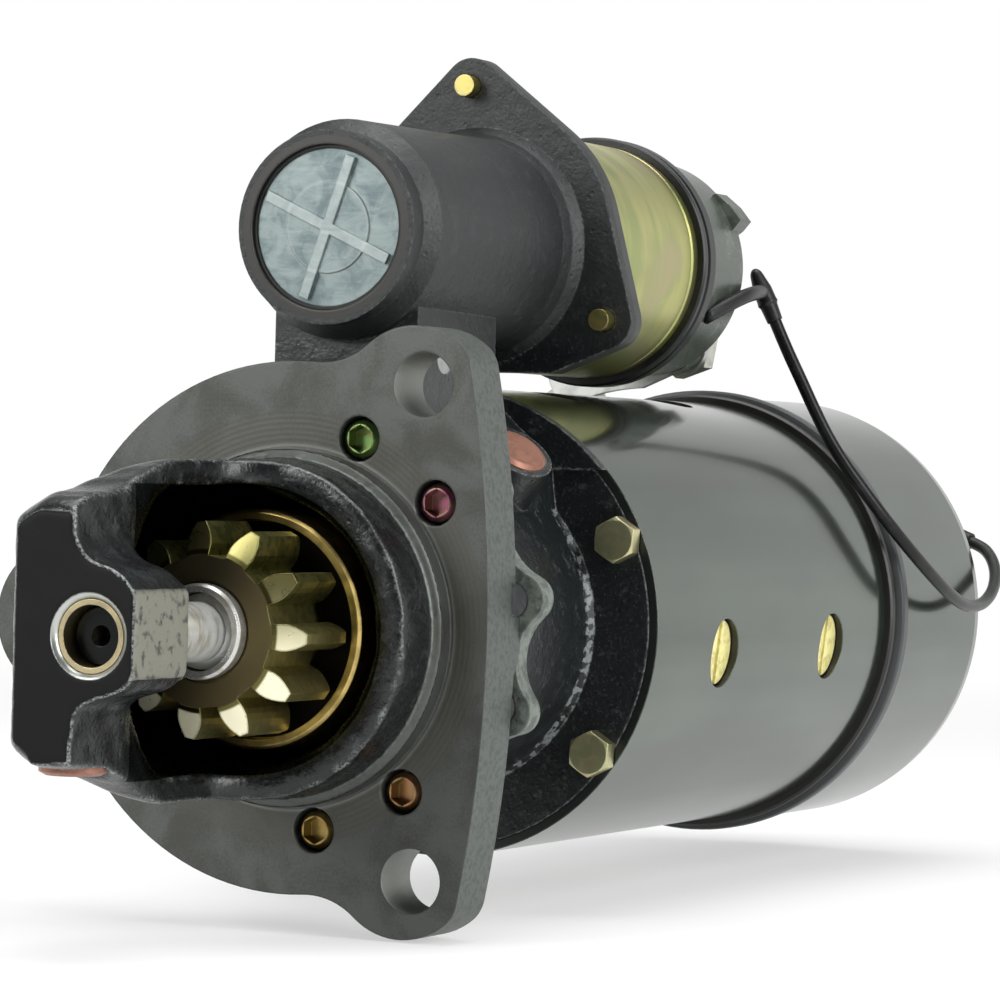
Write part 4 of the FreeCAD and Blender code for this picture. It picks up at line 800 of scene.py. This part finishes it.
def castPieces(look):
    source = nodes[look["node"]].data
    nose = bisected(roundedCasting(remade(merged(source), look["voxel"]), look), look["cut"], True)
    nose.shade_smooth()
    flange = bisected(merged(source), look["cut"], False)
    flange.shade_smooth()
    flange.set_sharp_from_angle(angle=math.radians(look["sharpAngle"]))
    for name, mesh in (("nose_casting", nose), ("nose_flange", flange)):
        piece = bpy.data.objects.new(name, mesh)
        bpy.context.scene.collection.objects.link(piece)
        carry(piece, "housing", finishes[look["node"]], "nose_paint", look["node"])
        print(name, len(mesh.polygons), "faces")


castPieces(casting)


# Floor, backdrop and lights, in metres and watts. The floor's fade is in millimetres.
studio = {
    "floorZ": -0.0790, "floorReach": 6.0, "floorColor": (0.86, 0.86, 0.86), "floorMiddleY": 150.0,
    "floorFade": (350.0, 1600.0), "floorGlow": 0.5,
    "world": 0.22, "roomDark": 0.07, "roomSide": (-0.45, 0.35), "roomHigh": (0.12, 0.60), "highDim": 0.7,
    "aim": (0.0, 0.12, 0.03), "lights": {
        "left": {"place": (-0.9, -1.3, 0.9), "size": (0.9, 1.2), "power": 26.0},
        "right": {"place": (1.7, -0.3, 0.7), "size": (0.8, 1.6), "power": 30.0},
        "top": {"place": (0.1, 0.2, 1.6), "size": (1.4, 1.4), "power": 26.0}}}


def rayKinds(paint):  # 1 or 0 each for camera, glossy and transmission rays
    return [paint.node("ShaderNodeLightPath", out=f"Is {kind} Ray")
            for kind in ("Camera", "Glossy", "Transmission")]


def makeFloor(look):
    # white to the camera, and to metal and glass, but half lit near the object so that its shadow shows
    paint = Paint("floor_white")
    camera, glossy, through = rayKinds(paint)
    shown = camera.math("MAXIMUM", glossy.math("MAXIMUM", through))
    lit = paint.node("ShaderNodeBsdfDiffuse", None, {"Color": (*look["floorColor"], 1.0)})
    glow = paint.node("ShaderNodeEmission", None, {"Color": (1.0, 1.0, 1.0, 1.0), "Strength": 1.0})
    reached = (paint.x * paint.x + (paint.y - look["floorMiddleY"]) ** 2.0) ** 0.5
    white = look["floorGlow"] + paint.fade(reached, *look["floorFade"]) * (1.0 - look["floorGlow"])
    both = paint.node("ShaderNodeMixShader", None, {0: shown * white, 1: lit, 2: glow})
    paint.node("ShaderNodeOutputMaterial", None, [both])
    t = np.linspace(0, 2 * np.pi, 64, endpoint=False)[:, None]
    reach = np.array([0.0, look["floorReach"]])[None, :]
    flat = np.stack([reach * np.cos(t), reach * np.sin(t), reach * 0 * t + look["floorZ"]], axis=-1)
    piece = gridMesh("floor", flat)
    piece.data.materials.append(paint.material)


def makeWorld(look):
    # white to the camera and glass, a darker room to metal in front of the object and high above it
    world = bpy.data.worlds.new("studio")
    world.use_nodes = True
    bpy.context.scene.world = world
    paint = Paint.__new__(Paint)
    paint.tree = world.node_tree
    paint.tree.nodes.clear()
    x, y, z = paint.split(paint.node("ShaderNodeTexCoord", out="Generated"))
    camera, glossy, through = rayKinds(paint)
    side = paint.fade(y, *look["roomSide"])
    high = paint.fade(z, *look["roomHigh"])
    room = look["roomDark"] + (1.0 - look["roomDark"]) * side * (1.0 - high * look["highDim"])
    level = look["world"]
    strength = level + (1.0 - level) * camera.math("MAXIMUM", through) + (room - level) * glossy
    back = paint.node("ShaderNodeBackground", None, {"Color": (1.0, 1.0, 1.0, 1.0), "Strength": strength})
    paint.node("ShaderNodeOutputWorld", None, [back])


def makeLights(look):
    for name, light in look["lights"].items():
        data = bpy.data.lights.new(name, "AREA")
        data.shape = "RECTANGLE"
        data.size, data.size_y = light["size"]
        data.energy = light["power"]
        lamp = bpy.data.objects.new(name, data)
        bpy.context.scene.collection.objects.link(lamp)
        lamp.location = light["place"]
        aim = Vector(look["aim"]) - Vector(light["place"])
        lamp.rotation_euler = aim.to_track_quat("-Z", "Y").to_euler()


makeFloor(studio)
makeWorld(studio)
makeLights(studio)
bpy.context.scene.view_settings.view_transform = "Standard"

print("pieces in place")
